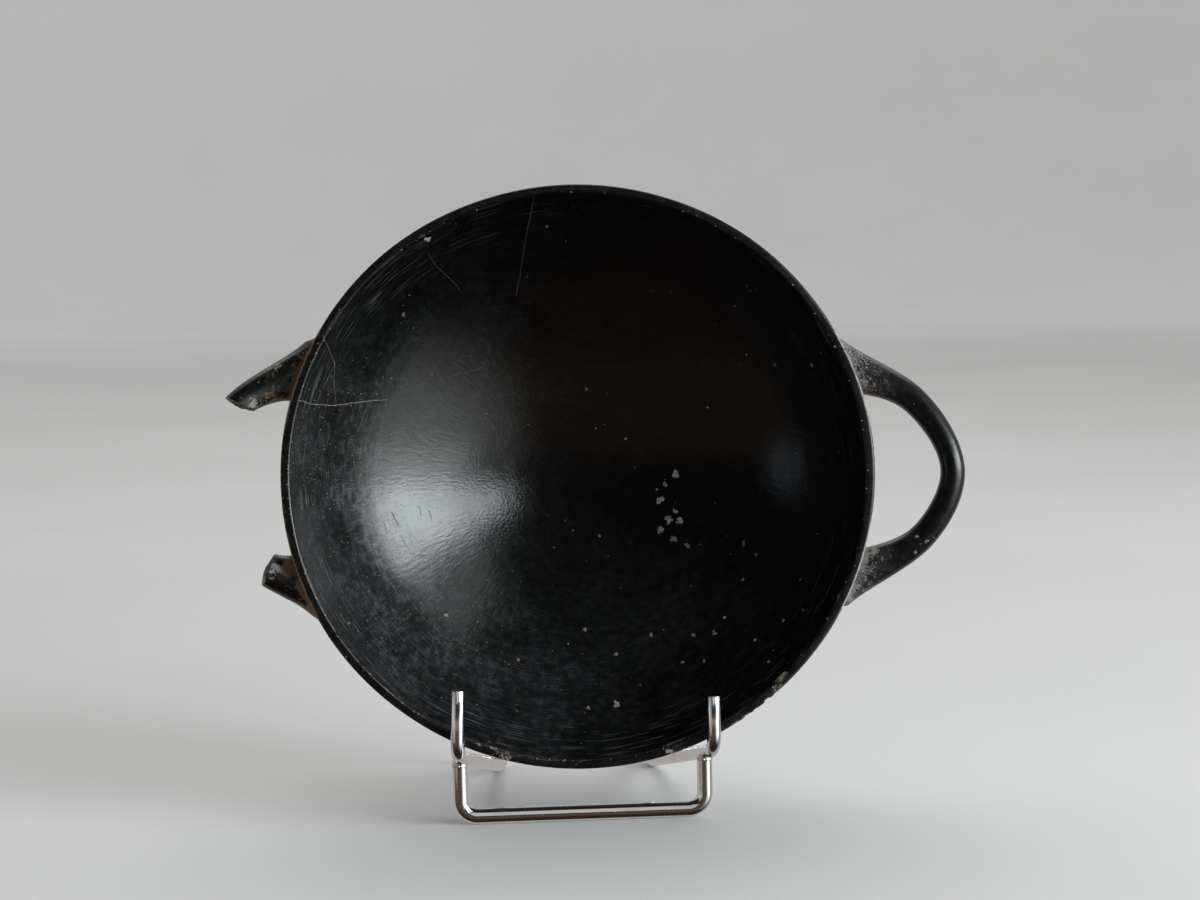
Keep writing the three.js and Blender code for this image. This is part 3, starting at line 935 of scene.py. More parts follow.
    def trimmed(self, piece: Piece) -> Piece:
        """Cut away what of a handle reaches past the middle of the wall.

        Args:
            piece: the handle.

        Returns:
            The same object.
        """
        shell = Sphere(self.outer.middle, self.outer.size - self.trim_depth)
        top = self.height - self.trim_drop
        rim = math.sqrt(shell.size**2 - (shell.middle - top) ** 2)
        profile = np.concatenate([[(0, top)], [(rim, top)], shell.arc(rim, 0, 40)])
        plug = turned(profile, 160, self.oval).piece("plug", self.clay)
        return combine(piece, plug, "DIFFERENCE")

    def whole_handle(self) -> Piece:
        """The handle on the right."""
        line = self.right.line(self.height, self.handle_steps + 1)
        rings = self.handle_rings(line, np.linspace(0, 1, len(line)))
        start = self.buried(rings[0], unit(line[0] - line[1]))
        end = self.buried(rings[-1], unit(line[-1] - line[-2]))
        rings = [self.filleted(ring, self.right.smear) for ring in (*start[::-1], *rings, *end)]
        return self.trimmed(skinned(rings).piece("handle", self.clay))

    def stump(self, fracture: Fracture, lower: bool) -> Piece:
        """A stump of the broken handle.

        Args:
            fracture: where and how it is broken.
            lower: whether it stands on the lower root.

        Returns:
            The stump, with a rough broken face.
        """
        line = self.left.line(self.height, 2 * self.handle_steps + 1)
        shares = np.linspace(0, 1, len(line))
        if lower:
            line, shares = line[::-1], shares[::-1]
        stop = int(np.argmin(np.linalg.norm(line[:, :2] - np.array(fracture.spot), axis=1)))
        kept = slice(0, stop + self.past_break)
        rings = self.handle_rings(line[kept], shares[kept])
        root = self.buried(rings[0], unit(line[0] - line[1]))
        rings = [self.filleted(ring, self.left.smear) for ring in (*root[::-1], *rings)]
        piece = self.trimmed(skinned(rings).piece("stump", self.clay))
        return combine(piece, self.fracture_block(line[stop], fracture), "DIFFERENCE")

    def fracture_block(self, point: Array, fracture: Fracture) -> Piece:
        """A block with one rough face, which cuts a handle off.

        Args:
            point: a point on the broken face.
            fracture: the way it looks and how rough it is.

        Returns:
            The block.
        """
        facing = unit(np.array(fracture.facing))
        first = unit(np.cross(facing, [0, 0, 1]))
        second = np.cross(facing, first)
        count = fracture.block_steps
        steps = np.linspace(-fracture.block_half, fracture.block_half, count)
        points = []
        for along in steps:
            for up in steps:
                spot = point + first * along + second * up
                coarse = noise.noise(Vector(spot) * fracture.coarse_scale)
                fine = noise.fractal(Vector(spot) * fracture.fine_scale, 0.8, 2.0, 3)
                bulge = fracture.bulge * max(1 - (along**2 + up**2) / fracture.bulge_reach**2, -1)
                points.append(spot + facing * (bulge + fracture.roughness * (coarse + 0.3 * fine)))
        front = np.array(points)
        corners = [row * count + column for row in range(count - 1) for column in range(count - 1)]
        faces = [(corner, corner + 1, corner + count + 1, corner + count) for corner in corners]
        edge = [*range(count - 1)]
        edge += [row * count + count - 1 for row in range(count - 1)]
        edge += [(count - 1) * count + column for column in range(count - 1, 0, -1)]
        edge += [row * count for row in range(count - 1, 0, -1)]
        back = front[edge] + facing * fracture.block_depth
        size = len(front)
        for index in range(len(edge)):
            beside = (index + 1) % len(edge)
            faces.append((edge[index], size + index, size + beside, edge[beside]))
        faces.append(tuple(range(size + len(edge) - 1, size - 1, -1)))
        return outward(Skin(np.concatenate([front, back]), faces).piece("fracture", self.broken))

    def flake(self, chip: Chip, seed: int) -> Piece:
        """The flake that a chip has lost, as a rough lens across an edge of the lip.

        Args:
            chip: where it sits and how large it is.
            seed: shifts the noise that roughens it.

        Returns:
            The flake.
        """
        turn = math.radians(chip.angle)
        inside = chip.edge is LipEdge.INNER
        radius = self.mouth() if inside else self.rim_radius
        level = self.height if inside else self.height - self.lip_round * 0.4
        middle = np.array([radius * math.cos(turn), self.oval * radius * math.sin(turn), level])
        radial = unit(middle * np.array([1, 1, 0]))
        rimwise = np.array([-radial[1], radial[0], 0])
        top = np.array([0, 0, 1.0])
        rows, columns = 13, 22
        polar = np.linspace(0, math.pi, rows)
        profile = np.stack([np.sin(polar), -np.cos(polar)], axis=-1)
        lens = turned(profile[::-1], columns, 1)
        points = []
        for spot in lens.points:
            lump = 1 + 0.45 * noise.noise(Vector(spot) * 1.7 + Vector((seed * 3.1, 0, 0)))
            x, y, z = spot * lump
            point = middle + rimwise * z * chip.length / 2 + radial * x * chip.depth
            points.append(point + top * y * chip.depth)
        return outward(Skin(np.array(points), lens.faces).piece("flake", self.broken, smooth=False))

    def build(self) -> Piece:
        """Shape the cup and lean it into the easel.

        Returns:
            The cup, with its marks painted on its points.
        """
        cup = self.thrown().piece("black_clay_kylix", self.clay, self.broken)
        combine(cup, self.whole_handle(), "UNION")
        for fracture, lower in ((self.upper_break, False), (self.lower_break, True)):
            combine(cup, self.stump(fracture, lower), "UNION")
        for seed, chip in enumerate(self.chips):
            combine(cup, self.flake(chip, seed), "DIFFERENCE")
        self.paint(cup)
        cup.data.set_sharp_from_angle(angle=math.radians(50))
        cup.data.transform(self.to_easel())
        return cup

    def paint(self, cup: Piece) -> None:
        """Write where the clay is worn, scratched and crusted, in the cup's own frame.

        Args:
            cup: the shaped cup.
        """
        mesh = cup.data
        points = np.empty(len(mesh.vertices) * 3)
        mesh.vertices.foreach_get("co", points)
        points = points.reshape(-1, 3)
        x, y, z = points.T
        radius = np.hypot(x, y / self.oval)
        angle = np.degrees(np.arctan2(y / self.oval, x))
        run = np.arctan2(radius, self.inner.middle - z)
        spread = np.clip(radius / self.wheel_core, 0, 1)
        turn = np.radians(angle)
        wheel = np.stack([spread * np.cos(turn), spread * np.sin(turn), run], axis=-1)
        inside = (np.abs(self.inner.off(points, self.oval)) < 0.0005) & (z < self.height)
        left, right = self.gap_to(points, self.left), self.gap_to(points, self.right)
        off = self.outer.off(points, self.oval)
        shell = np.where(off > -0.0007, np.abs(off), 1.0)
        marks = Marks(self, x, y, z, radius, angle, inside, left, right, shell)
        for name, values in marks.fields().items():
            attribute = mesh.attributes.new(name, "FLOAT", "POINT")
            attribute.data.foreach_set("value", values.astype(np.float32))
        attribute = mesh.attributes.new("wheel", "FLOAT_VECTOR", "POINT")
        attribute.data.foreach_set("vector", wheel.astype(np.float32).ravel())

    def gap_to(self, points: Array, handle: Handle) -> Array:
        """Distance from points to a handle's middle line."""
        line = handle.line(self.height, 80)
        gaps = np.full(len(points), np.inf)
        for spot in line:
            gaps = np.minimum(gaps, np.linalg.norm(points - spot, axis=1))
        return gaps

    def dress(self, cup: Piece) -> None:
        """Set the cup on the frame in place of its solid."""
        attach(cup, BODY)
        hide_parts("kylix_cup")


@dataclass(frozen=True)
class Marks:
    """Wear, scratches and crusts of the cup, point by point."""

    cup: Cup
    x: Array
    y: Array
    z: Array
    radius: Array
    angle: Array
    inside: Array
    left: Array
    right: Array
    shell: Array

    def fields(self) -> dict[str, Array]:
        """Returns: the marks' weights by name."""
        return {
            "scuff": self.scuff(),
            "cross_strokes": self.cross_strokes(),
            "wheel_strokes": self.inside.astype(float),
            "rim_scratches": self.rim_scratches(),
            "lip_wear": self.lip_wear(),
            "brown": self.brown(),
            "lime": self.lime(),
            "earth": self.earth(),
            "dust": self.dust(),
            "powder": self.powder(),
        }

    def spot(self, x: float, y: float, size: float) -> Array:
        """Soft round weight about a place seen into the mouth, a third of it left at its size."""
        return np.exp(-((self.x - x) ** 2 + (self.y - y) ** 2) / size**2)

    def near_root(self, gap: Array, reach: float) -> Array:
        """Weight of what is near a handle and near the wall."""
        return bell(self.shell, reach) * np.clip((0.0125 - gap) / 0.004, 0, 1)

    def past_lip(self, gap: Array, reach: float) -> Array:
        """Weight of what lies on a handle's front beside the lip.

        Args:
            gap: distance to the handle's middle line.
            reach: distance from the lip at which the weight has fallen to about a third.

        Returns:
            The weights.
        """
        away = np.clip(self.radius - self.cup.rim_radius, 0, None)
        on_handle = np.clip((0.0145 - gap) / 0.002, 0, 1) * (self.radius > self.cup.rim_radius - 0.0004)
        return bell(away, reach) * on_handle * np.clip((self.z - 0.050) / 0.004, 0, 1)

    def scuff(self) -> Array:
        """Grey scuffing and a painted reflection of window light: the lower left of the bowl, its bottom, its
        left, and the handle's roots.
        """
        bowl = 0.85 * self.spot(-0.050, -0.040, 0.023) + 0.65 * self.spot(-0.014, -0.058, 0.025)
        bowl += 0.85 * self.spot(-0.062, 0.004, 0.026) + 0.16 * self.spot(-0.03, 0.03, 0.02)
        bowl += 0.2 * self.spot(0.03, -0.045, 0.025) + 0.07
        return np.where(self.inside, bowl, self.past_lip(self.right, 0.009) + 0.25)

    def powder(self) -> Array:
        """Fine pale powder on the right handle, thinning out away from the lip."""
        return 0.2 * self.past_lip(self.right, 0.0024) + 0.17 * self.past_lip(self.right, 0.0075)

    def cross_strokes(self) -> Array:
        """Strokes across the wheel's way, greyed as scuffing and as painted glints of window light: on the
        left of the bowl and at its lower left.
        """
        return self.inside * (self.spot(-0.055, -0.01, 0.026) + 0.8 * self.spot(-0.045, -0.042, 0.024) + 0.15)

    def brown(self) -> Array:
        """Brown tint: a painted reflection of warm brown ground in the upper right of the bowl, and brown
        stains on the lip on the left.
        """
        lip = bell(self.radius - self.cup.rim_radius, 0.0015) * sector(self.angle, 182, 30)
        return np.where(self.inside, 0.7 * self.spot(0.02, 0.035, 0.035), lip + 0.15)

    def rim_scratches(self) -> Array:
        """Fine scratches round the inside of the rim."""
        close = np.clip((self.radius - 0.061) / 0.008, 0, 1) ** 1.5
        where = 0.7 * sector(self.angle, 135, 28) + 0.9 * sector(self.angle, 190, 40)
        where += 1.2 * sector(self.angle, -128, 30) + 1.3 * sector(self.angle, -90, 34)
        where += 0.28 * sector(self.angle, -38, 36) + 0.1 * sector(self.angle, 25, 40)
        return self.inside * close * np.clip(where + 0.15, 0, 1.4)

    def lip_wear(self) -> Array:
        """Pale worn line along the lip's inner edge, strongest on the left."""
        off = np.hypot(self.radius - self.cup.mouth() - 0.0001, self.z - self.cup.height)
        line = bell(off, 0.00016)
        where = 0.36 * sector(self.angle, 165, 40) + 0.5 * sector(self.angle, -140, 42)
        where += 0.36 * sector(self.angle, -95, 25)
        return line * (0.08 + where)

    def lime(self) -> Array:
        """Lime: on the right handle beside the lip, by the breaks on the left, and on chips of the lip."""
        seam = 0.48 * self.past_lip(self.right, 0.0013) + 0.12 * self.past_lip(self.right, 0.003)
        corner = 0.8 * self.spot(0.0748, -0.0205, 0.0018) + 0.4 * self.spot(0.0742, -0.0238, 0.0018)
        corner += 0.3 * self.spot(0.0748, 0.0212, 0.0016)
        upper = 0.42 * self.spot(-0.0822, 0.0198, 0.0026) + 0.36 * self.spot(-0.0790, 0.0203, 0.0024)
        upper += 0.34 * self.spot(-0.0768, 0.0296, 0.0024) + 0.25 * self.spot(-0.0752, 0.0220, 0.0020)
        lower = 0.5 * self.spot(-0.0774, -0.0214, 0.0023) + 0.26 * self.spot(-0.0790, -0.0232, 0.0018)
        stump = (self.left < 0.0115) & (self.radius > self.cup.rim_radius)
        chipped = 0.5 * self.spot(-0.0212, -0.0702, 0.0028) + 0.4 * self.spot(0.0211, -0.0702, 0.0022)
        chipped += 0.42 * self.spot(0.0478, -0.0562, 0.0024)
        lip = chipped * (self.z > 0.0605) * (self.radius > self.cup.mouth() - 0.0003)
        return seam + np.where(self.inside, 0, corner) + np.where(stump, upper + lower, 0) + lip

    def dust(self) -> Array:
        """Pale flecks: thick on the left of the bowl, thin elsewhere."""
        flecks = 0.9 * self.spot(-0.062, 0.006, 0.022) + 0.5 * self.spot(-0.045, -0.035, 0.022) + 0.02
        return np.where(self.inside, flecks, 0.1)

    def earth(self) -> Array:
        """Brown earth: in the crevices of the left stumps and on the lip's outside between them."""
        crevice = 0.4 * self.near_root(self.left, 0.0032) + 0.4 * self.past_lip(self.left, 0.0016)
        crevice += 0.14 * self.past_lip(self.left, 0.006)
        patches = 0.45 * self.spot(-0.0768, 0.0212, 0.003) + 0.3 * self.spot(-0.0776, 0.0288, 0.003)
        patches += 0.6 * self.spot(0.0752, 0.02, 0.0018) + 0.4 * self.spot(-0.0745, -0.0212, 0.0022)
        outer_lip = bell(self.radius - self.cup.rim_radius, 0.0007) * bell(self.z - 0.061, 0.0018)
        side = sector(self.angle, 182, 26) + 0.5 * sector(self.angle, -135, 18)
        return crevice + patches * (self.z > 0.048) + 0.5 * outer_lip * side * (self.z > 0.05)


@dataclass(frozen=True)
class Recipe(ABC):
    """A Geometry Nodes tree that shapes pieces by rule."""

    name: str
    inputs: Inputs

    def tree(self) -> bpy.types.NodeTree:
        """Returns: the recipe's tree, made on first use."""
        made = bpy.data.node_groups.get(self.name)
        if made is None:
            made = bpy.data.node_groups.new(self.name, "GeometryNodeTree")
            sockets = (("Geometry", "NodeSocketGeometry"), *self.inputs, ("Material", "NodeSocketMaterial"))
            for name, kind in sockets:
                made.interface.new_socket(name, in_out="INPUT", socket_type=kind)
            made.interface.new_socket("Geometry", in_out="OUTPUT", socket_type="NodeSocketGeometry")
            self.finish(Bench(made))
        return made

    def finish(self, bench: Bench) -> None:
        """Lay the whole tree, from the group's inputs to its output."""
        given = bench.node("NodeGroupInput")
        real = bench.node("GeometryNodeRealizeInstances", {"Geometry": self.lay(bench, given)})
        shape = self.roughened(bench, given, real.outputs["Geometry"])
        smooth = bench.node("GeometryNodeSetShadeSmooth", {"Geometry": shape})
        coat = bench.node("GeometryNodeSetMaterial", {
            "Geometry": smooth.outputs["Geometry"],
            "Material": given.outputs["Material"],
        })
        bench.node("NodeGroupOutput", {"Geometry": coat.outputs["Geometry"]})

    @abstractmethod
    def lay(self, bench: Bench, given: Node) -> Socket:
        """Lay the recipe's own nodes.

        Args:
            bench: the tree.
            given: the group's inputs.

        Returns:
            The shaped geometry's socket.
        """

    def roughened(self, bench: Bench, given: Node, shape: Socket) -> Socket:
        """Last change of the realised shape, none unless a recipe has one."""
        return shape

    def read(self, bench: Bench, name: str | Socket, kind: str = "FLOAT") -> Socket:
        """A value that the points carry."""
        made = bench.node("GeometryNodeInputNamedAttribute", {"Name": name}, data_type=kind)
        return made.outputs["Attribute"]

    def drawn(self, bench: Bench, line: Socket, sides: Socket, radius: Value, share: str) -> Socket:
        """A round section drawn along a line, with closed ends.

        Args:
            bench: the tree.
            line: the line's socket.
            sides: number of the section's sides.
            radius: radius of the section.
            share: name of the points' value that scales the section.

        Returns:
            The drawn mesh's socket.
        """
        ring = bench.node("GeometryNodeCurvePrimitiveCircle", {"Resolution": sides, "Radius": radius})
        mesh = bench.node("GeometryNodeCurveToMesh", {
            "Curve": line,
            "Profile Curve": ring.outputs["Curve"],
            "Scale": self.read(bench, share),
            "Fill Caps": True,
        })
        return mesh.outputs["Mesh"]

    def stood(self, bench: Bench, given: Node, shape: Socket, **more: Socket) -> Socket:
        """Copies of a shape on the given points, each turned by its point's own way.

        Args:
            bench: the tree.
            given: the group's inputs.
            shape: the shape's socket.
            more: further inputs of the copies, by name.

        Returns:
            The copies' socket.
        """
        spots = bench.node("GeometryNodeMeshToPoints", {"Mesh": given.outputs["Geometry"]})
        way = self.read(bench, "way", "FLOAT_VECTOR")
        turn = bench.node("FunctionNodeAlignRotationToVector", {"Vector": way})
        copies = bench.node("GeometryNodeInstanceOnPoints", {
            "Points": spots.outputs["Points"],
            "Instance": shape,
            "Rotation": turn.outputs["Rotation"],
            **more,
        })
        return copies.outputs["Instances"]

    def used(self, piece: Piece, finish: Finish, **values: object) -> Piece:
        """Shape a piece by the recipe.

        Args:
            piece: object with the recipe's starting points.
            finish: finish of the result.
            values: the recipe's inputs, with underscores for spaces.

        Returns:
            The same object, as a plain mesh.
        """
        change = piece.modifiers.new(self.name, "NODES")
        change.node_group = self.tree()
        settings = {name.replace("_", " "): value for name, value in values.items()}
        settings["Material"] = finish.material()
        for item in change.node_group.interface.items_tree:
            if item.in_out == "INPUT" and item.name in settings:
                change[item.identifier] = settings[item.name]
        return settled(piece)


@dataclass(frozen=True)
class WireRecipe(Recipe):
    """Wire drawn along a line of corners, bent round at each by its own radius."""

    name: str = "bent_wire"
    inputs: Inputs = (
        ("Wire Radius", FLOAT_SOCKET), ("Sides", INT_SOCKET), ("Bend Steps", INT_SOCKET)
    )

    def lay(self, bench: Bench, given: Node) -> Socket:
        """Line of corners, rounded bends, round section, closed ends."""
        line = bench.node("GeometryNodeMeshToCurve", {"Mesh": given.outputs["Geometry"]})
        bend = bench.node("GeometryNodeFilletCurve", {
            "Curve": line.outputs["Curve"],
            "Count": given.outputs["Bend Steps"],
            "Radius": self.read(bench, "bend_radius"),
        }, mode="POLY")
        sides, radius = given.outputs["Sides"], given.outputs["Wire Radius"]
        return self.drawn(bench, bend.outputs["Curve"], sides, radius, "tip_share")


@dataclass(frozen=True)
class BeadRecipe(Recipe):
    """Rings of small beads, as weld metal stands round a joint."""

    name: str = "weld_beads"
    inputs: Inputs = (
        ("Ring Radius", FLOAT_SOCKET), ("Bead Radius", FLOAT_SOCKET), ("Beads", INT_SOCKET)
    )
    sizes: tuple[float, float] = (0.8, 1.15)
    seed: int = 4
    subdivisions: int = 2

    def lay(self, bench: Bench, given: Node) -> Socket:
        """A ring of uneven beads on each point."""
        ring = bench.node("GeometryNodeMeshCircle", {
            "Vertices": given.outputs["Beads"],
            "Radius": given.outputs["Ring Radius"],
        })
        bead = bench.node("GeometryNodeMeshIcoSphere", {
            "Radius": given.outputs["Bead Radius"],
            "Subdivisions": self.subdivisions,
        })
        low, high = self.sizes
        chance = {2: low, 3: high, "Seed": self.seed}
        uneven = bench.node("FunctionNodeRandomValue", chance, data_type="FLOAT")
        beads = bench.node("GeometryNodeInstanceOnPoints", {
            "Points": ring.outputs["Mesh"],
            "Instance": bead.outputs["Mesh"],
            "Scale": uneven.outputs[1],
        })
        return self.stood(bench, given, beads.outputs["Instances"])


@dataclass(frozen=True)
class SpotRecipe(Recipe):
    """Low irregular lumps on marked points, each of its own size and tone."""

    name: str = "lime_spots"
    inputs: Inputs = (("Flatness", FLOAT_SOCKET), ("Raggedness", FLOAT_SOCKET))
    segments: int = 18
    rings: int = 9
    rag_scale: float = 1100
    rag_detail: float = 3

    def lay(self, bench: Bench, given: Node) -> Socket:
        """A flat lump on each point."""
        wide = self.read(bench, "size")
        lump = bench.node("GeometryNodeMeshUVSphere", {"Segments": self.segments, "Rings": self.rings})
        size = bench.node("ShaderNodeCombineXYZ", {
            "X": wide,
            "Y": bench.times(wide, self.read(bench, "breadth")),
            "Z": given.outputs["Flatness"],
        })
        return self.stood(bench, given, lump.outputs["Mesh"], Scale=size.outputs["Vector"])

    def roughened(self, bench: Bench, given: Node, shape: Socket) -> Socket:
        """Stir the lumps' outlines by noise of their own place."""
        place = bench.node("GeometryNodeInputPosition").outputs["Position"]
        stir = bench.node("ShaderNodeTexNoise", {
            "Vector": place,
            "Scale": self.rag_scale,
            "Detail": self.rag_detail,
        })
        middle = (0.5, 0.5, 0.5)
        off = bench.node("ShaderNodeVectorMath", {0: stir.outputs["Color"], 1: middle}, operation="SUBTRACT")
        reach = bench.node("ShaderNodeVectorMath", {
            0: off.outputs["Vector"],
            "Scale": bench.times(given.outputs["Raggedness"], self.read(bench, "size")),
        }, operation="SCALE")
        moved = bench.node("GeometryNodeSetPosition", {"Geometry": shape, "Offset": reach.outputs["Vector"]})
        return moved.outputs["Geometry"]


@dataclass(frozen=True)
class GrainRecipe(Recipe):
    """Grains strewn over a surface, thicker where a mark on it is stronger."""

    name: str = "strewn_grains"
    inputs: Inputs = (
        ("Mark", "NodeSocketString"),
        ("Density", FLOAT_SOCKET),
        ("Smallest", FLOAT_SOCKET),
        ("Largest", FLOAT_SOCKET),
        ("Flatness", FLOAT_SOCKET),
        ("Darkest", FLOAT_SOCKET),
        ("Seed", INT_SOCKET),
    )
    segments: int = 8
    rings: int = 4
    breadth: float = 0.8
    size_seed: int = 11
    size_power: float = 3.0
    tone_seed: int = 23

    def lay(self, bench: Bench, given: Node) -> Socket:
        """Points by the mark's weight, many small grains and few large ones."""
        mark = self.read(bench, given.outputs["Mark"])
        strew = bench.node("GeometryNodeDistributePointsOnFaces", {
            "Mesh": given.outputs["Geometry"],
            "Density": bench.times(mark, given.outputs["Density"]),
            "Seed": given.outputs["Seed"],
        }, distribute_method="RANDOM")
        chance = bench.node("FunctionNodeRandomValue", {"Seed": self.size_seed}, data_type="FLOAT")
        wide = bench.node("ShaderNodeMapRange", {
            "Value": bench.maths("POWER", chance.outputs[1], self.size_power),
            "To Min": given.outputs["Smallest"],
            "To Max": given.outputs["Largest"],
        }).outputs["Result"]
        tones = bench.node("FunctionNodeRandomValue", {
            3: given.outputs["Darkest"],
            "Seed": self.tone_seed,
        }, data_type="FLOAT")
        toned = bench.node("GeometryNodeStoreNamedAttribute", {
            "Geometry": strew.outputs["Points"],
            "Name": "tone",
            "Value": tones.outputs[1],
        }, data_type="FLOAT", domain="POINT")
        grain = bench.node("GeometryNodeMeshUVSphere", {"Segments": self.segments, "Rings": self.rings})
        size = bench.node("ShaderNodeCombineXYZ", {
            "X": wide,
            "Y": bench.times(wide, self.breadth),
            "Z": bench.times(wide, given.outputs["Flatness"]),
        })
        grains = bench.node("GeometryNodeInstanceOnPoints", {
            "Points": toned.outputs["Geometry"],
            "Instance": grain.outputs["Mesh"],
            "Rotation": strew.outputs["Rotation"],
            "Scale": size.outputs["Vector"],
        })
        return grains.outputs["Instances"]


@dataclass(frozen=True)
class ThreadRecipe(Recipe):
    """Thin uneven threads along lines that lie on a surface."""

    name: str = "crack_threads"
    inputs: Inputs = (("Sides", INT_SOCKET),)

    def lay(self, bench: Bench, given: Node) -> Socket:
        """Line of points, round section of each point's own half width, closed ends."""
        line = bench.node("GeometryNodeMeshToCurve", {"Mesh": given.outputs["Geometry"]})
        return self.drawn(bench, line.outputs["Curve"], given.outputs["Sides"], 1.0, "half_width")


def combine(piece: Piece, tool: Piece, operation: str) -> Piece:
    """Join a solid to a piece or cut it away, and remove the solid.

    Args:
        piece: what is kept.
        tool: the solid that is joined or cut away.
        operation: UNION or DIFFERENCE.

    Returns:
        The piece.
    """
    change = piece.modifiers.new(operation, "BOOLEAN")
    change.operation = operation
    change.object = tool
    change.solver = "MANIFOLD"
    change.material_mode = "TRANSFER"
    settled(piece)
    bpy.data.objects.remove(tool)
    return piece


def settled(piece: Piece) -> Piece:
    """Turn a piece with its modifiers into a plain mesh.

    Args:
        piece: the piece.

    Returns:
        The same object.
    """
    graph = bpy.context.evaluated_depsgraph_get()
    shaped = piece.evaluated_get(graph)
    mesh = bpy.data.meshes.new_from_object(shaped, preserve_all_data_layers=True, depsgraph=graph)
    spent = piece.data
    piece.modifiers.clear()
    piece.data = mesh
    bpy.data.meshes.remove(spent)
    return piece


def outward(piece: Piece) -> Piece:
    """Turn a closed solid's faces outwards.

    Args:
        piece: the solid.

    Returns:
        The same object.
    """
    mesh = piece.data
    volume = 0.0
    mesh.calc_loop_triangles()
    for triangle in mesh.loop_triangles:
        a, b, c = (mesh.vertices[index].co for index in triangle.vertices)
        volume += a.dot(b.cross(c))
    if volume < 0:
        mesh.flip_normals()
    return piece


def marked(name: str, spots: list[Vector], links: list[tuple[int, int]], **values: list) -> Piece:
    """An object of points that carry values.

    Args:
        name: the object's name.
        spots: its points.
        links: edges between them.
        values: values of the points by name, numbers or vectors.

    Returns:
        The object.
    """
    mesh = bpy.data.meshes.new(name)
    mesh.from_pydata(spots, links, [])
    for title, row in values.items():
        if isinstance(row[0], Vector):
            flat = [part for value in row for part in value]
            mesh.attributes.new(title, "FLOAT_VECTOR", "POINT").data.foreach_set("vector", flat)
        else:
            mesh.attributes.new(title, "FLOAT", "POINT").data.foreach_set("value", row)
    return placed(name, mesh)


@dataclass(frozen=True)
class Corner:
    """A corner of a wire's line: where it is, and the radius of its bend."""

    spot: Vector
    bend: float = 0.0


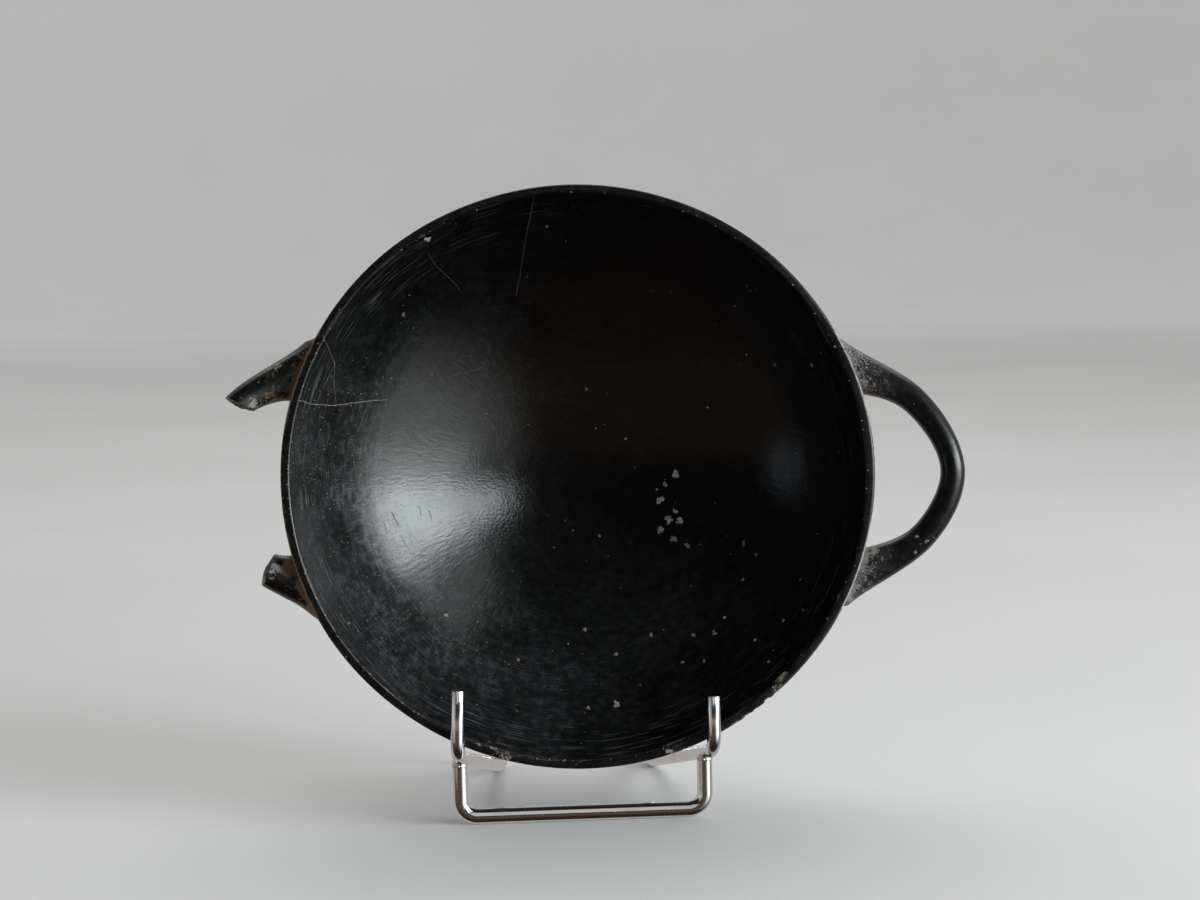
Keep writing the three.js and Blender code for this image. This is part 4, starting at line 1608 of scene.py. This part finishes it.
@dataclass
class Easel:
    """The easel: two arms of bent wire, a front foot, a back rail, and the welds between them."""

    plan: EaselPlan
    place: Place
    cup: Cup
    tip_steps: tuple[tuple[float, float], ...] = ((0.0, 0.76), (0.00013, 0.91), (0.0004, 1.0))
    post_sink: float = 0.0014
    bead_radius: float = 0.00062
    bead_sink: float = 0.4
    beads: int = 14
    wire_sides: int = 36
    bend_steps: int = 14
    sharp: float = math.radians(34)
    finish: ChromePlate = ChromePlate()
    pieces: dict[str, Piece] = field(default_factory=dict)

    def rear_y(self) -> float:
        """How far back the uprights' lines meet the ground."""
        rim = self.cup.to_easel() @ Vector((0, 0, self.cup.height))
        clear = self.cup.height + self.plan.weld_gap + self.plan.wire_radius
        return rim.y + (clear - rim.z * math.sin(self.place.lean)) / math.cos(self.place.lean)

    def rear(self, side: int) -> Vector:
        """Corner at the back of an arm: side -1 is the left one, 1 the right one."""
        return Vector((side * self.plan.rear_spacing / 2, self.rear_y(), self.plan.rear_height))

    def hook(self, side: int) -> Vector:
        """Corner under the hook of an arm."""
        height = self.plan.hook_corner_heights[0 if side < 0 else 1]
        return Vector((side * self.plan.hook_spacing / 2, self.plan.hook_y, height))

    def wire(self, name: str, corners: list[Corner], radius: float, rounded_tips: bool) -> Piece:
        """A bent wire.

        Args:
            name: the piece's name.
            corners: the corners of its line, with its ends.
            radius: half its thickness.
            rounded_tips: whether its ends are rounded off.

        Returns:
            The wire, as a plain mesh.
        """
        points = [(corner.spot, corner.bend, 1.0) for corner in corners]
        if rounded_tips:
            first, last = self.tip(corners[0], corners[1]), self.tip(corners[-1], corners[-2])
            points = [*first, *points[1:-1], *last[::-1]]
        spots, bends, shares = (list(row) for row in zip(*points))
        links = [(step, step + 1) for step in range(len(points) - 1)]
        piece = marked(name, spots, links, bend_radius=bends, tip_share=shares)
        WireRecipe().used(
            piece, self.finish, Wire_Radius=radius, Sides=self.wire_sides, Bend_Steps=self.bend_steps
        )
        piece.data.set_sharp_from_angle(angle=self.sharp)
        return piece

    def tip(self, end: Corner, inner: Corner) -> list[tuple[Vector, float, float]]:
        """Points of a rounded end, from the tip inwards: place, bend, and share of the wire's thickness."""
        way = (inner.spot - end.spot).normalized()
        return [(end.spot + way * run, 0.0, share) for run, share in self.tip_steps]

    def arm(self, side: int) -> list[Corner]:
        """Corners of an arm: hook, run to the rear, and upright."""
        hook, rear = self.hook(side), self.rear(side)
        which = 0 if side < 0 else 1
        inset = self.plan.hook_tip_insets[which]
        tip = Vector((hook.x - side * inset, hook.y, self.plan.hook_tip_heights[which]))
        top = rear + self.place.up_way() * self.plan.upright_length
        bends = [Corner(hook, self.plan.hook_bend), Corner(rear, self.plan.rear_bend)]
        return [Corner(tip), *bends, Corner(top)]

    def post_top(self, side: int) -> Vector:
        """Where a post of the front foot meets the arm above it."""
        hook, rear = self.hook(side), self.rear(side)
        on_arm = hook.lerp(rear, -hook.y / (rear.y - hook.y))
        return on_arm + Vector((self.plan.post_shifts[0 if side < 0 else 1], 0, -self.plan.wire_radius))

    def welds(self) -> Piece:
        """Weld beads round the front posts' tops and between the rail and the uprights."""
        up, back = self.place.up_way(), -self.place.mouth_way()
        on_upright = self.plan.rail_height * up + self.plan.wire_radius * back
        joints = [(self.post_top(side), Vector((0, 0, 1))) for side in (-1, 1)]
        joints += [(self.rear(side) + on_upright, back) for side in (-1, 1)]
        piece = marked("easel_welds", [spot for spot, _ in joints], [], way=[way for _, way in joints])
        ring = self.plan.wire_radius - self.bead_radius * self.bead_sink
        return BeadRecipe().used(
            piece, self.finish, Ring_Radius=ring, Bead_Radius=self.bead_radius, Beads=self.beads
        )

    def build(self) -> None:
        """Bend the four wires and weld them."""
        plan = self.plan
        for name, side in (("easel_left_arm", -1), ("easel_right_arm", 1)):
            self.pieces[name] = self.wire(f"{name}_wire", self.arm(side), plan.wire_radius, True)
        left, right = self.post_top(-1), self.post_top(1)
        sink = Vector((0, 0, self.post_sink))
        low = [Vector((top.x, top.y, plan.foot_wire_radius)) for top in (left, right)]
        foot = [Corner(left + sink), *(Corner(spot, plan.foot_bend) for spot in low), Corner(right + sink)]
        bar = self.wire("easel_front_foot_wire", foot, plan.foot_wire_radius, False)
        self.pieces["easel_front_foot"] = bar
        behind = 2 * plan.wire_radius + plan.weld_gap
        middle = self.rear(0) + plan.rail_height * self.place.up_way() - behind * self.place.mouth_way()
        half = Vector((plan.rail_length / 2, 0, 0))
        rail = [Corner(middle - half), Corner(middle + half)]
        self.pieces["easel_back_rail"] = self.wire("easel_back_rail_wire", rail, plan.wire_radius, True)
        self.pieces["easel_welds"] = self.welds()

    def dress(self) -> None:
        """Set the wires on the frame in place of their solids."""
        for node, piece in self.pieces.items():
            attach(piece, BODY)
            if node != "easel_welds":
                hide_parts(node)
            LOG.info("%s: %d faces", piece.name, len(piece.data.polygons))


@dataclass(frozen=True)
class Speck:
    """A spot of lime or earth in the bowl: its place seen into the mouth, its radius, in mm, and its tone."""

    x: float
    y: float
    radius: float = 0.42
    tone: float = 0.25


@dataclass(frozen=True)
class Crack:
    """A crack or score in the bowl: points seen into the mouth and its width, in mm, and its tone."""

    line: tuple[tuple[float, float], ...]
    width: float
    tone: float = 0.1


@dataclass(frozen=True)
class Strewing:
    """Grains strewn over the cup.

    They follow a mark, so many for each square metre at its full weight. Their smallest and largest radius
    are in mm, and their tones reach to the darkest one.
    """

    name: str
    mark: str
    density: float
    sizes: tuple[float, float]
    darkest: float
    seed: int
    flatness: float = 0.45


@dataclass
class Deposits:
    """Lime and earth on the clay, and its scores: spots, filled cracks, crusts, crumbs and dust."""

    cup: Cup
    body: Piece
    specks: tuple[Speck, ...] = (
        Speck(28, 0.6, 1.3, 0.35), Speck(24.9, -2.1, 0.75, 0.4), Speck(22.8, -3.4, 0.4, 0.5),
        Speck(23.6, -6.4, 1.35, 0.4), Speck(27.4, -9.3, 0.9, 0.38), Speck(25.6, -11.8, 1.4, 0.34),
        Speck(28.3, -12.1, 1.3, 0.3), Speck(23.1, -14.4, 1.35, 0.42), Speck(26.6, -17.1, 1.2, 0.62),
        Speck(30.1, -18.9, 1, 0.64), Speck(44.6, -18.6, 0.95, 0.78), Speck(47.4, -21.7, 0.45, 0.5),
        Speck(43.6, -28.2, 0.6, 0.74), Speck(6.9, -15.6, 0.4, 0.6), Speck(38.2, -38, 0.5),
        Speck(1.8, -40.6, 0.78, 0.3), Speck(19.2, -42.3, 0.6), Speck(29.9, -42.6, 0.78, 0.3),
        Speck(35.3, -42, 0.95, 0.34), Speck(9.6, -47, 0.72), Speck(32.1, -49, 0.6, 0.6),
        Speck(26.6, -49.3, 0.42), Speck(45, -43.7, 0.5), Speck(56.9, -36.1, 0.55, 0.86),
        Speck(52.2, -38.8, 0.45), Speck(47.4, -49, 0.42), Speck(9, -59.2, 1.25, 0.2),
        Speck(1.4, -60.1, 0.6, 0.2), Speck(64.7, -32.6, 0.6, 0.82), Speck(14.7, 10.6, 0.6, 0.5),
        Speck(4.5, 24.5, 0.6, 0.72), Speck(53, 28, 0.5, 0.7), Speck(61.3, 27, 0.5, 0.72),
        Speck(-43.9, 43.2, 0.7, 0.6), Speck(-35, -35.3, 0.78, 0.1), Speck(-16.3, -47.6, 0.5, 0.5),
        Speck(-59.2, -35.7, 0.6, 0.5), Speck(-36.7, 60.7, 1.15, 0.02), Speck(85.7, -18, 0.62, 0.45),
        Speck(88.3, -19.3, 0.62, 0.4), Speck(85.5, -22.1, 0.5, 0.5),
    )
    cracks: tuple[Crack, ...] = (
        Crack((
            (-69.8, 20.5), (-67.7, 19.9), (-65, 19.7), (-61.3, 19.9),
            (-57, 20.6), (-53.1, 21.3), (-48.6, 21.7),
        ), 0.22, 0.1),
        Crack((
            (-63.6, 36.8), (-62.9, 34.6), (-62, 31.9), (-61.4, 30.1),
            (-61.8, 26.2), (-61.7, 23.3), (-61.5, 20.1),
        ), 0.11, 0.3),
        Crack((
            (-9.4, 72), (-10.1, 68.5), (-11.3, 64), (-12.4, 58.3), (-13.3, 53.6), (-14.6, 47.6),
        ), 0.04, 0.35),
        Crack(((-37.1, 58.2), (-35.5, 55.7), (-33.1, 53.5), (-30.6, 51.4), (-28.6, 49.1)), 0.045, 0.35),
        Crack(((-31.9, 28.3), (-27.6, 29.4), (-24.4, 30.2), (-23.1, 31.6), (-22.3, 32.6)), 0.065, 0.3),
        Crack(((-48.6, -7.9), (-47.8, -9.6), (-46.9, -11.6)), 0.3, 2.0),
        Crack(((-46.5, -13.9), (-45.8, -15.4), (-45.0, -17.1)), 0.2, 2.0),
        Crack(((-38.9, -7.7), (-38.5, -9.1), (-38.2, -10.4)), 0.2, 2.0),
        Crack(((-50.8, -10.4), (-50.2, -12.0), (-49.9, -13.6)), 0.16, 2.0),
        Crack(((-44.2, -18.8), (-42.0, -19.4), (-39.6, -19.5)), 0.16, 2.0),
        Crack(((-41.6, -6.2), (-41.2, -7.4), (-41.3, -8.8)), 0.14, 2.0),
    )
    strewings: tuple[Strewing, ...] = (
        Strewing("lime_crust", "lime", 4.0e6, (0.05, 0.22), 0.5, 3),
        Strewing("earth_crumbs", "earth", 2.5e6, (0.05, 0.24), 1.1, 5),
        Strewing("dust_flecks", "dust", 0.6e6, (0.05, 0.22), 0.6, 9),
        Strewing("lip_crumbs", "lip_wear", 9.0e6, (0.06, 0.3), 0.35, 13),
    )
    seed: int = 7
    strays: int = 70
    stray_reach: float = 68
    sink: float = 0.45
    patch_from: float = 0.55
    patch_lumps: int = 7
    patch_reach: float = 0.62
    finish: LimeDeposit = LimeDeposit()
    pieces: list[Piece] = field(default_factory=list)
    surface: BVHTree = field(init=False)

    def __post_init__(self) -> None:
        """Index the cup's surface."""
        mesh = self.body.data
        corners = [vertex.co for vertex in mesh.vertices]
        self.surface = BVHTree.FromPolygons(corners, [face.vertices for face in mesh.polygons])

    def landed(self, x: float, y: float) -> tuple[Vector, Vector]:
        """Where a point seen into the mouth falls on the bowl.

        Args:
            x: place along the handles, in mm.
            y: place across them, in mm.

        Returns:
            The place on the surface and its normal.
        """
        turn = self.cup.to_easel()
        start = turn @ Vector((x * MM, y * MM, self.cup.height + 20 * MM))
        spot, normal, _, _ = self.surface.ray_cast(start, turn.to_3x3() @ Vector((0, 0, -1)))
        return spot, normal

    def spots(self) -> Piece:
        """Lime spots: the marked ones, and small strays towards the lower right."""
        chance = np.random.default_rng(self.seed)
        specks = list(self.specks)
        for _ in range(self.strays):
            turn = chance.uniform(-math.pi, math.pi)
            run = self.stray_reach * math.sqrt(chance.uniform(0.03, 1))
            x, y = run * math.cos(turn), run * math.sin(turn)
            if chance.uniform() < 0.35 + 0.4 * (x > -10) * (y < 0):
                specks.append(Speck(x, y, chance.uniform(0.13, 0.26), chance.uniform(0.1, 0.8)))
        specks = [lump for speck in specks for lump in self.broken_up(speck, chance)]
        landed = [self.landed(speck.x, speck.y) for speck in specks]
        piece = marked(
            "lime_spots", [spot for spot, _ in landed], [],
            way=[normal for _, normal in landed],
            size=[speck.radius * MM for speck in specks],
            breadth=[chance.uniform(0.7, 1.05) for _ in specks],
            tone=[speck.tone for speck in specks],
        )
        return SpotRecipe().used(piece, self.finish, Flatness=0.11 * MM, Raggedness=0.9)

    def broken_up(self, speck: Speck, chance: np.random.Generator) -> list[Speck]:
        """A spot as it has grown: small ones are one lump, larger ones a patch of several.

        Args:
            speck: the spot.
            chance: source of the lumps' places and sizes.

        Returns:
            Its lumps.
        """
        if speck.radius < self.patch_from:
            return [speck]
        lumps = []
        for _ in range(self.patch_lumps):
            turn = chance.uniform(-math.pi, math.pi)
            run = speck.radius * self.patch_reach * math.sqrt(chance.uniform())
            size = speck.radius * chance.uniform(0.26, 0.5)
            tone = speck.tone + chance.uniform(-0.12, 0.2)
            lumps.append(Speck(speck.x + run * math.cos(turn), speck.y + run * math.sin(turn), size, tone))
        return lumps

    def threads(self) -> Piece:
        """Cracks filled with lime, and dark scores, wandering a little and of uneven width."""
        chance = np.random.default_rng(self.seed + 1)
        spots, links, widths, tones = [], [], [], []
        for crack in self.cracks:
            knots = np.array([(x, y, 0) for x, y in crack.line])
            line = smooth_line(knots, 14 * len(crack.line))
            first = len(spots)
            for step, (x, y, _) in enumerate(line):
                spot, normal = self.landed(x + chance.normal(0, 0.07), y + chance.normal(0, 0.07))
                fade = min(1.0, 8 * (1 - step / (len(line) - 1)) + 0.25)
                width = crack.width / 2 * MM * fade * chance.uniform(0.55, 1.2)
                spots.append(spot - normal * width * self.sink)
                widths.append(width)
                tones.append(crack.tone)
                if step:
                    links.append((first + step - 1, first + step))
        piece = marked("cracks_and_scores", spots, links, half_width=widths, tone=tones)
        return ThreadRecipe().used(piece, self.finish, Sides=6)

    def strewn(self, grains: Strewing) -> Piece:
        """Grains strewn over the cup.

        Args:
            grains: how they are strewn.

        Returns:
            The grains.
        """
        piece = placed(grains.name, self.body.data.copy())
        smallest, largest = grains.sizes
        return GrainRecipe().used(
            piece, self.finish, Mark=grains.mark, Density=grains.density, Smallest=smallest * MM,
            Largest=largest * MM, Flatness=grains.flatness, Darkest=grains.darkest, Seed=grains.seed,
        )

    def build(self) -> None:
        """Lay all the deposits on the cup."""
        self.pieces = [self.spots(), self.threads(), *(self.strewn(grains) for grains in self.strewings)]

    def dress(self) -> None:
        """Set the deposits on the frame."""
        for piece in self.pieces:
            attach(piece, BODY)
            LOG.info("%s: %d faces", piece.name, len(piece.data.polygons))


@dataclass
class Studio:
    """Pale floor, soft light and the camera."""

    cup: Cup
    mirrors: list[Piece]
    azimuth: float = math.radians(-2.7)
    elevation: float = math.radians(6.3)
    roll: float = math.radians(1.2)
    distance: float = 0.54
    metres_per_pixel: float = 0.0002524
    picture: tuple[int, int] = (1200, 900)
    rim_pixel: tuple[float, float] = (579.7, 474.5)
    sensor_width: float = 36.0
    near_limit: float = 0.01
    window_distance: float = 1.2
    sweep_radius: float = 3.2
    sweep_bend: float = 1.2
    sweep_top: float = 3.0
    sweep_thickness: float = 0.05
    floor: PaleFloor = PaleFloor()

    def rim_middle(self) -> Vector:
        """Middle of the cup's rim."""
        return self.cup.to_easel() @ Vector((0, 0, self.cup.height))

    def camera(self) -> None:
        """Place the camera so that the rim's middle falls where the photograph shows it."""
        target = self.rim_middle()
        away = Vector((
            math.sin(self.azimuth) * math.cos(self.elevation),
            -math.cos(self.azimuth) * math.cos(self.elevation),
            math.sin(self.elevation),
        ))
        focal = self.distance / self.metres_per_pixel
        level = (-away).cross(Vector((0, 0, 1))).normalized()
        up = level.cross(-away)
        right = math.cos(self.roll) * level - math.sin(self.roll) * up
        up = math.cos(self.roll) * up + math.sin(self.roll) * level
        aim_right = self.picture[0] / 2 - self.rim_pixel[0]
        aim_up = self.rim_pixel[1] - self.picture[1] / 2
        forward = (-away * focal + right * aim_right + up * aim_up).normalized()
        right = (right - forward * right.dot(forward)).normalized()
        up = right.cross(forward)
        lens = bpy.data.cameras.new("camera")
        lens.sensor_width = self.sensor_width
        lens.lens = focal * self.sensor_width / self.picture[0]
        lens.clip_start = self.near_limit
        camera = placed("camera", lens)
        turn = Matrix((right, up, -forward)).transposed().to_4x4()
        camera.matrix_world = Matrix.Translation(target + away * self.distance) @ turn
        bpy.context.scene.camera = camera

    def panel(
        self, name: str, middle: Vector, towards: Vector, size: tuple[float, float], glow: float, tone: Tone
    ) -> Piece:
        """A soft rectangular light.

        Args:
            name: its name.
            middle: its middle.
            towards: the point it faces.
            size: its width and height.
            glow: its brightness.
            tone: its colour.

        Returns:
            The lamp.
        """
        light = bpy.data.lights.new(name, "AREA")
        light.shape = "RECTANGLE"
        light.size, light.size_y = size
        light.energy = glow * math.pi * size[0] * size[1]
        light.color = tone
        lamp = placed(name, light)
        lamp.location = middle
        lamp.rotation_euler = (middle - towards).to_track_quat("Z", "Y").to_euler()
        lamp.visible_camera = False
        return lamp

    def lights(self) -> None:
        """A long window on the right, dimmer light above it, and a soft box over the back."""
        reach = self.window_distance
        for name, near, far, low, high, glow, tone in (
            ("window", 0.18, 0.7, 0.2, 0.75, 12.5, (0.9, 0.97, 1.0)),
            ("window_middle", 0.7, 1.1, 0.25, 0.77, 11.5, (0.9, 0.97, 1.0)),
            ("window_far", 1.1, 1.6, 0.36, 0.84, 8.5, (0.91, 0.97, 1.0)),
            ("window_end", 1.6, 2.4, 0.52, 0.9, 8.0, (0.91, 0.97, 1.0)),
            ("window_low", 0.18, 1.5, 0.0, 0.22, 3.0, (0.94, 1.0, 0.99)),
        ):
            middle = Vector((reach, -(near + far) / 2, (low + high) / 2))
            self.panel(name, middle, middle - Vector((1, 0, 0)), (far - near, high - low), glow, tone)
        for name, low, high, glow in (("over_window", 0.77, 0.95, 3.0), ("upper_wall", 0.95, 1.8, 1.0)):
            middle = Vector((reach, -0.8, (low + high) / 2))
            self.panel(name, middle, middle - Vector((1, 0, 0)), (1.2, high - low), glow, (0.95, 0.98, 1.0))
        top = Vector((0.1, 0.7, 1.5))
        lamp = self.panel("top_box", top, Vector((0, 0.25, 0)), (1.8, 1.2), 1.9, (1.0, 1.0, 1.0))
        passed_by = bpy.data.collections.new("passed_by_top_box")
        for piece in self.mirrors:
            passed_by.objects.link(piece)
        for link in passed_by.collection_objects:
            link.light_linking.link_state = "EXCLUDE"
        lamp.light_linking.receiver_collection = passed_by
        self.cards()

    def cards(self) -> None:
        """Cards that only the chrome mirrors: a pale one in front, one on the left, and a warm one below."""
        chrome = bpy.data.collections.new("mirrors_cards")
        for piece in self.mirrors:
            chrome.objects.link(piece)
        foot = Vector((0, 0, 0.02))
        for name, middle, size, glow, tone in (
            ("front_card", Vector((0, -1.1, 0.85)), (1.2, 1.3), 0.55, (1.0, 0.98, 0.96)),
            ("left_card", Vector((-1.0, -0.55, 0.06)), (0.9, 0.7), 0.34, (1.0, 0.96, 0.94)),
            ("warm_card", Vector((0, -0.62, 0.004)), (1.6, 0.9), 0.26, (1.0, 0.66, 0.46)),
        ):
            towards = middle + Vector((0, 0, 1)) if name == "warm_card" else foot
            lamp = self.panel(name, middle, towards, size, glow, tone)
            lamp.light_linking.receiver_collection = chrome

    def surroundings(self) -> None:
        """Dim room: a warm ground and a dark front, as the burnish and the chrome mirror them."""
        world = bpy.data.worlds.new("room")
        world.use_nodes = True
        bench = Bench(world.node_tree)
        way = bench.node("ShaderNodeTexCoord").outputs["Generated"]
        split = bench.node("ShaderNodeSeparateXYZ")
        bench.feed(split.inputs[0], way)
        above = bench.rise(split.outputs["Z"], -0.06, 0.08)
        behind = bench.rise(split.outputs["Y"], -0.05, 0.2)
        sunlit = bench.times(
            bench.rise(split.outputs["X"], 0.2, 0.85), bench.rise(split.outputs["Z"], -0.85, 0.0),
            bench.rise(split.outputs["Y"], -0.1, -0.25),
        )
        left_glow = bench.times(
            bench.rise(split.outputs["X"], -0.91, -0.99), bench.rise(split.outputs["Z"], -0.18, 0.0),
            bench.rise(split.outputs["Z"], 0.24, 0.06),
        )
        steep = bench.rise(split.outputs["Z"], -0.35, -0.75)
        upper = bench.tint(behind, (0.02, 0.021, 0.022, 1), (0.5, 0.5, 0.5, 1))
        ground = bench.tint(steep, (0.10, 0.068, 0.047, 1), (0.03, 0.02, 0.014, 1))
        ground = bench.tint(sunlit, ground, (2.0, 2.1, 2.07, 1))
        ground = bench.tint(behind, ground, (0.45, 0.43, 0.41, 1))
        colour = bench.tint(above, ground, upper)
        colour = bench.tint(left_glow, colour, (0.5, 0.56, 0.62, 1))
        back = world.node_tree.nodes["Background"]
        bench.feed(back.inputs["Color"], colour)
        bpy.context.scene.world = world

    def sweep(self) -> None:
        """Pale floor that curves up all round."""
        floor, bend, top, thick = self.sweep_radius, self.sweep_bend, self.sweep_top, self.sweep_thickness
        wall = floor + bend
        turn = np.linspace(0, math.pi / 2, 16)
        curve = np.stack([floor + bend * np.sin(turn), bend * (1 - np.cos(turn))], axis=-1)
        profile = np.concatenate([[(0, 0)], np.linspace((0.02, 0), (floor, 0), 30), curve[1:], [(wall, top)]])
        rest = [(wall + thick, top), (wall + thick, -thick), (0, -thick)]
        skin = turned(np.concatenate([profile, rest]), 96, 1)
        stage = skin.piece("studio_floor", self.floor)
        stage.visible_glossy = False

    def build(self) -> None:
        """Set up the floor, the lights and the camera."""
        self.sweep()
        self.lights()
        self.surroundings()
        self.camera()
        bpy.context.scene.view_settings.view_transform = "Standard"


def main() -> None:
    """Build the object piece by piece and report each one."""
    logging.basicConfig(level=logging.INFO, format="%(name)s: %(message)s")
    plan = EaselPlan()
    place = Place(plan)
    cup = Cup(place)
    kylix = cup.build()
    cup.dress(kylix)
    LOG.info("%s: %d faces", kylix.name, len(kylix.data.polygons))
    deposits = Deposits(cup, kylix)
    deposits.build()
    deposits.dress()
    easel = Easel(plan, place, cup)
    easel.build()
    easel.dress()
    Studio(cup, list(easel.pieces.values())).build()


if __name__ == "__main__":
    main()
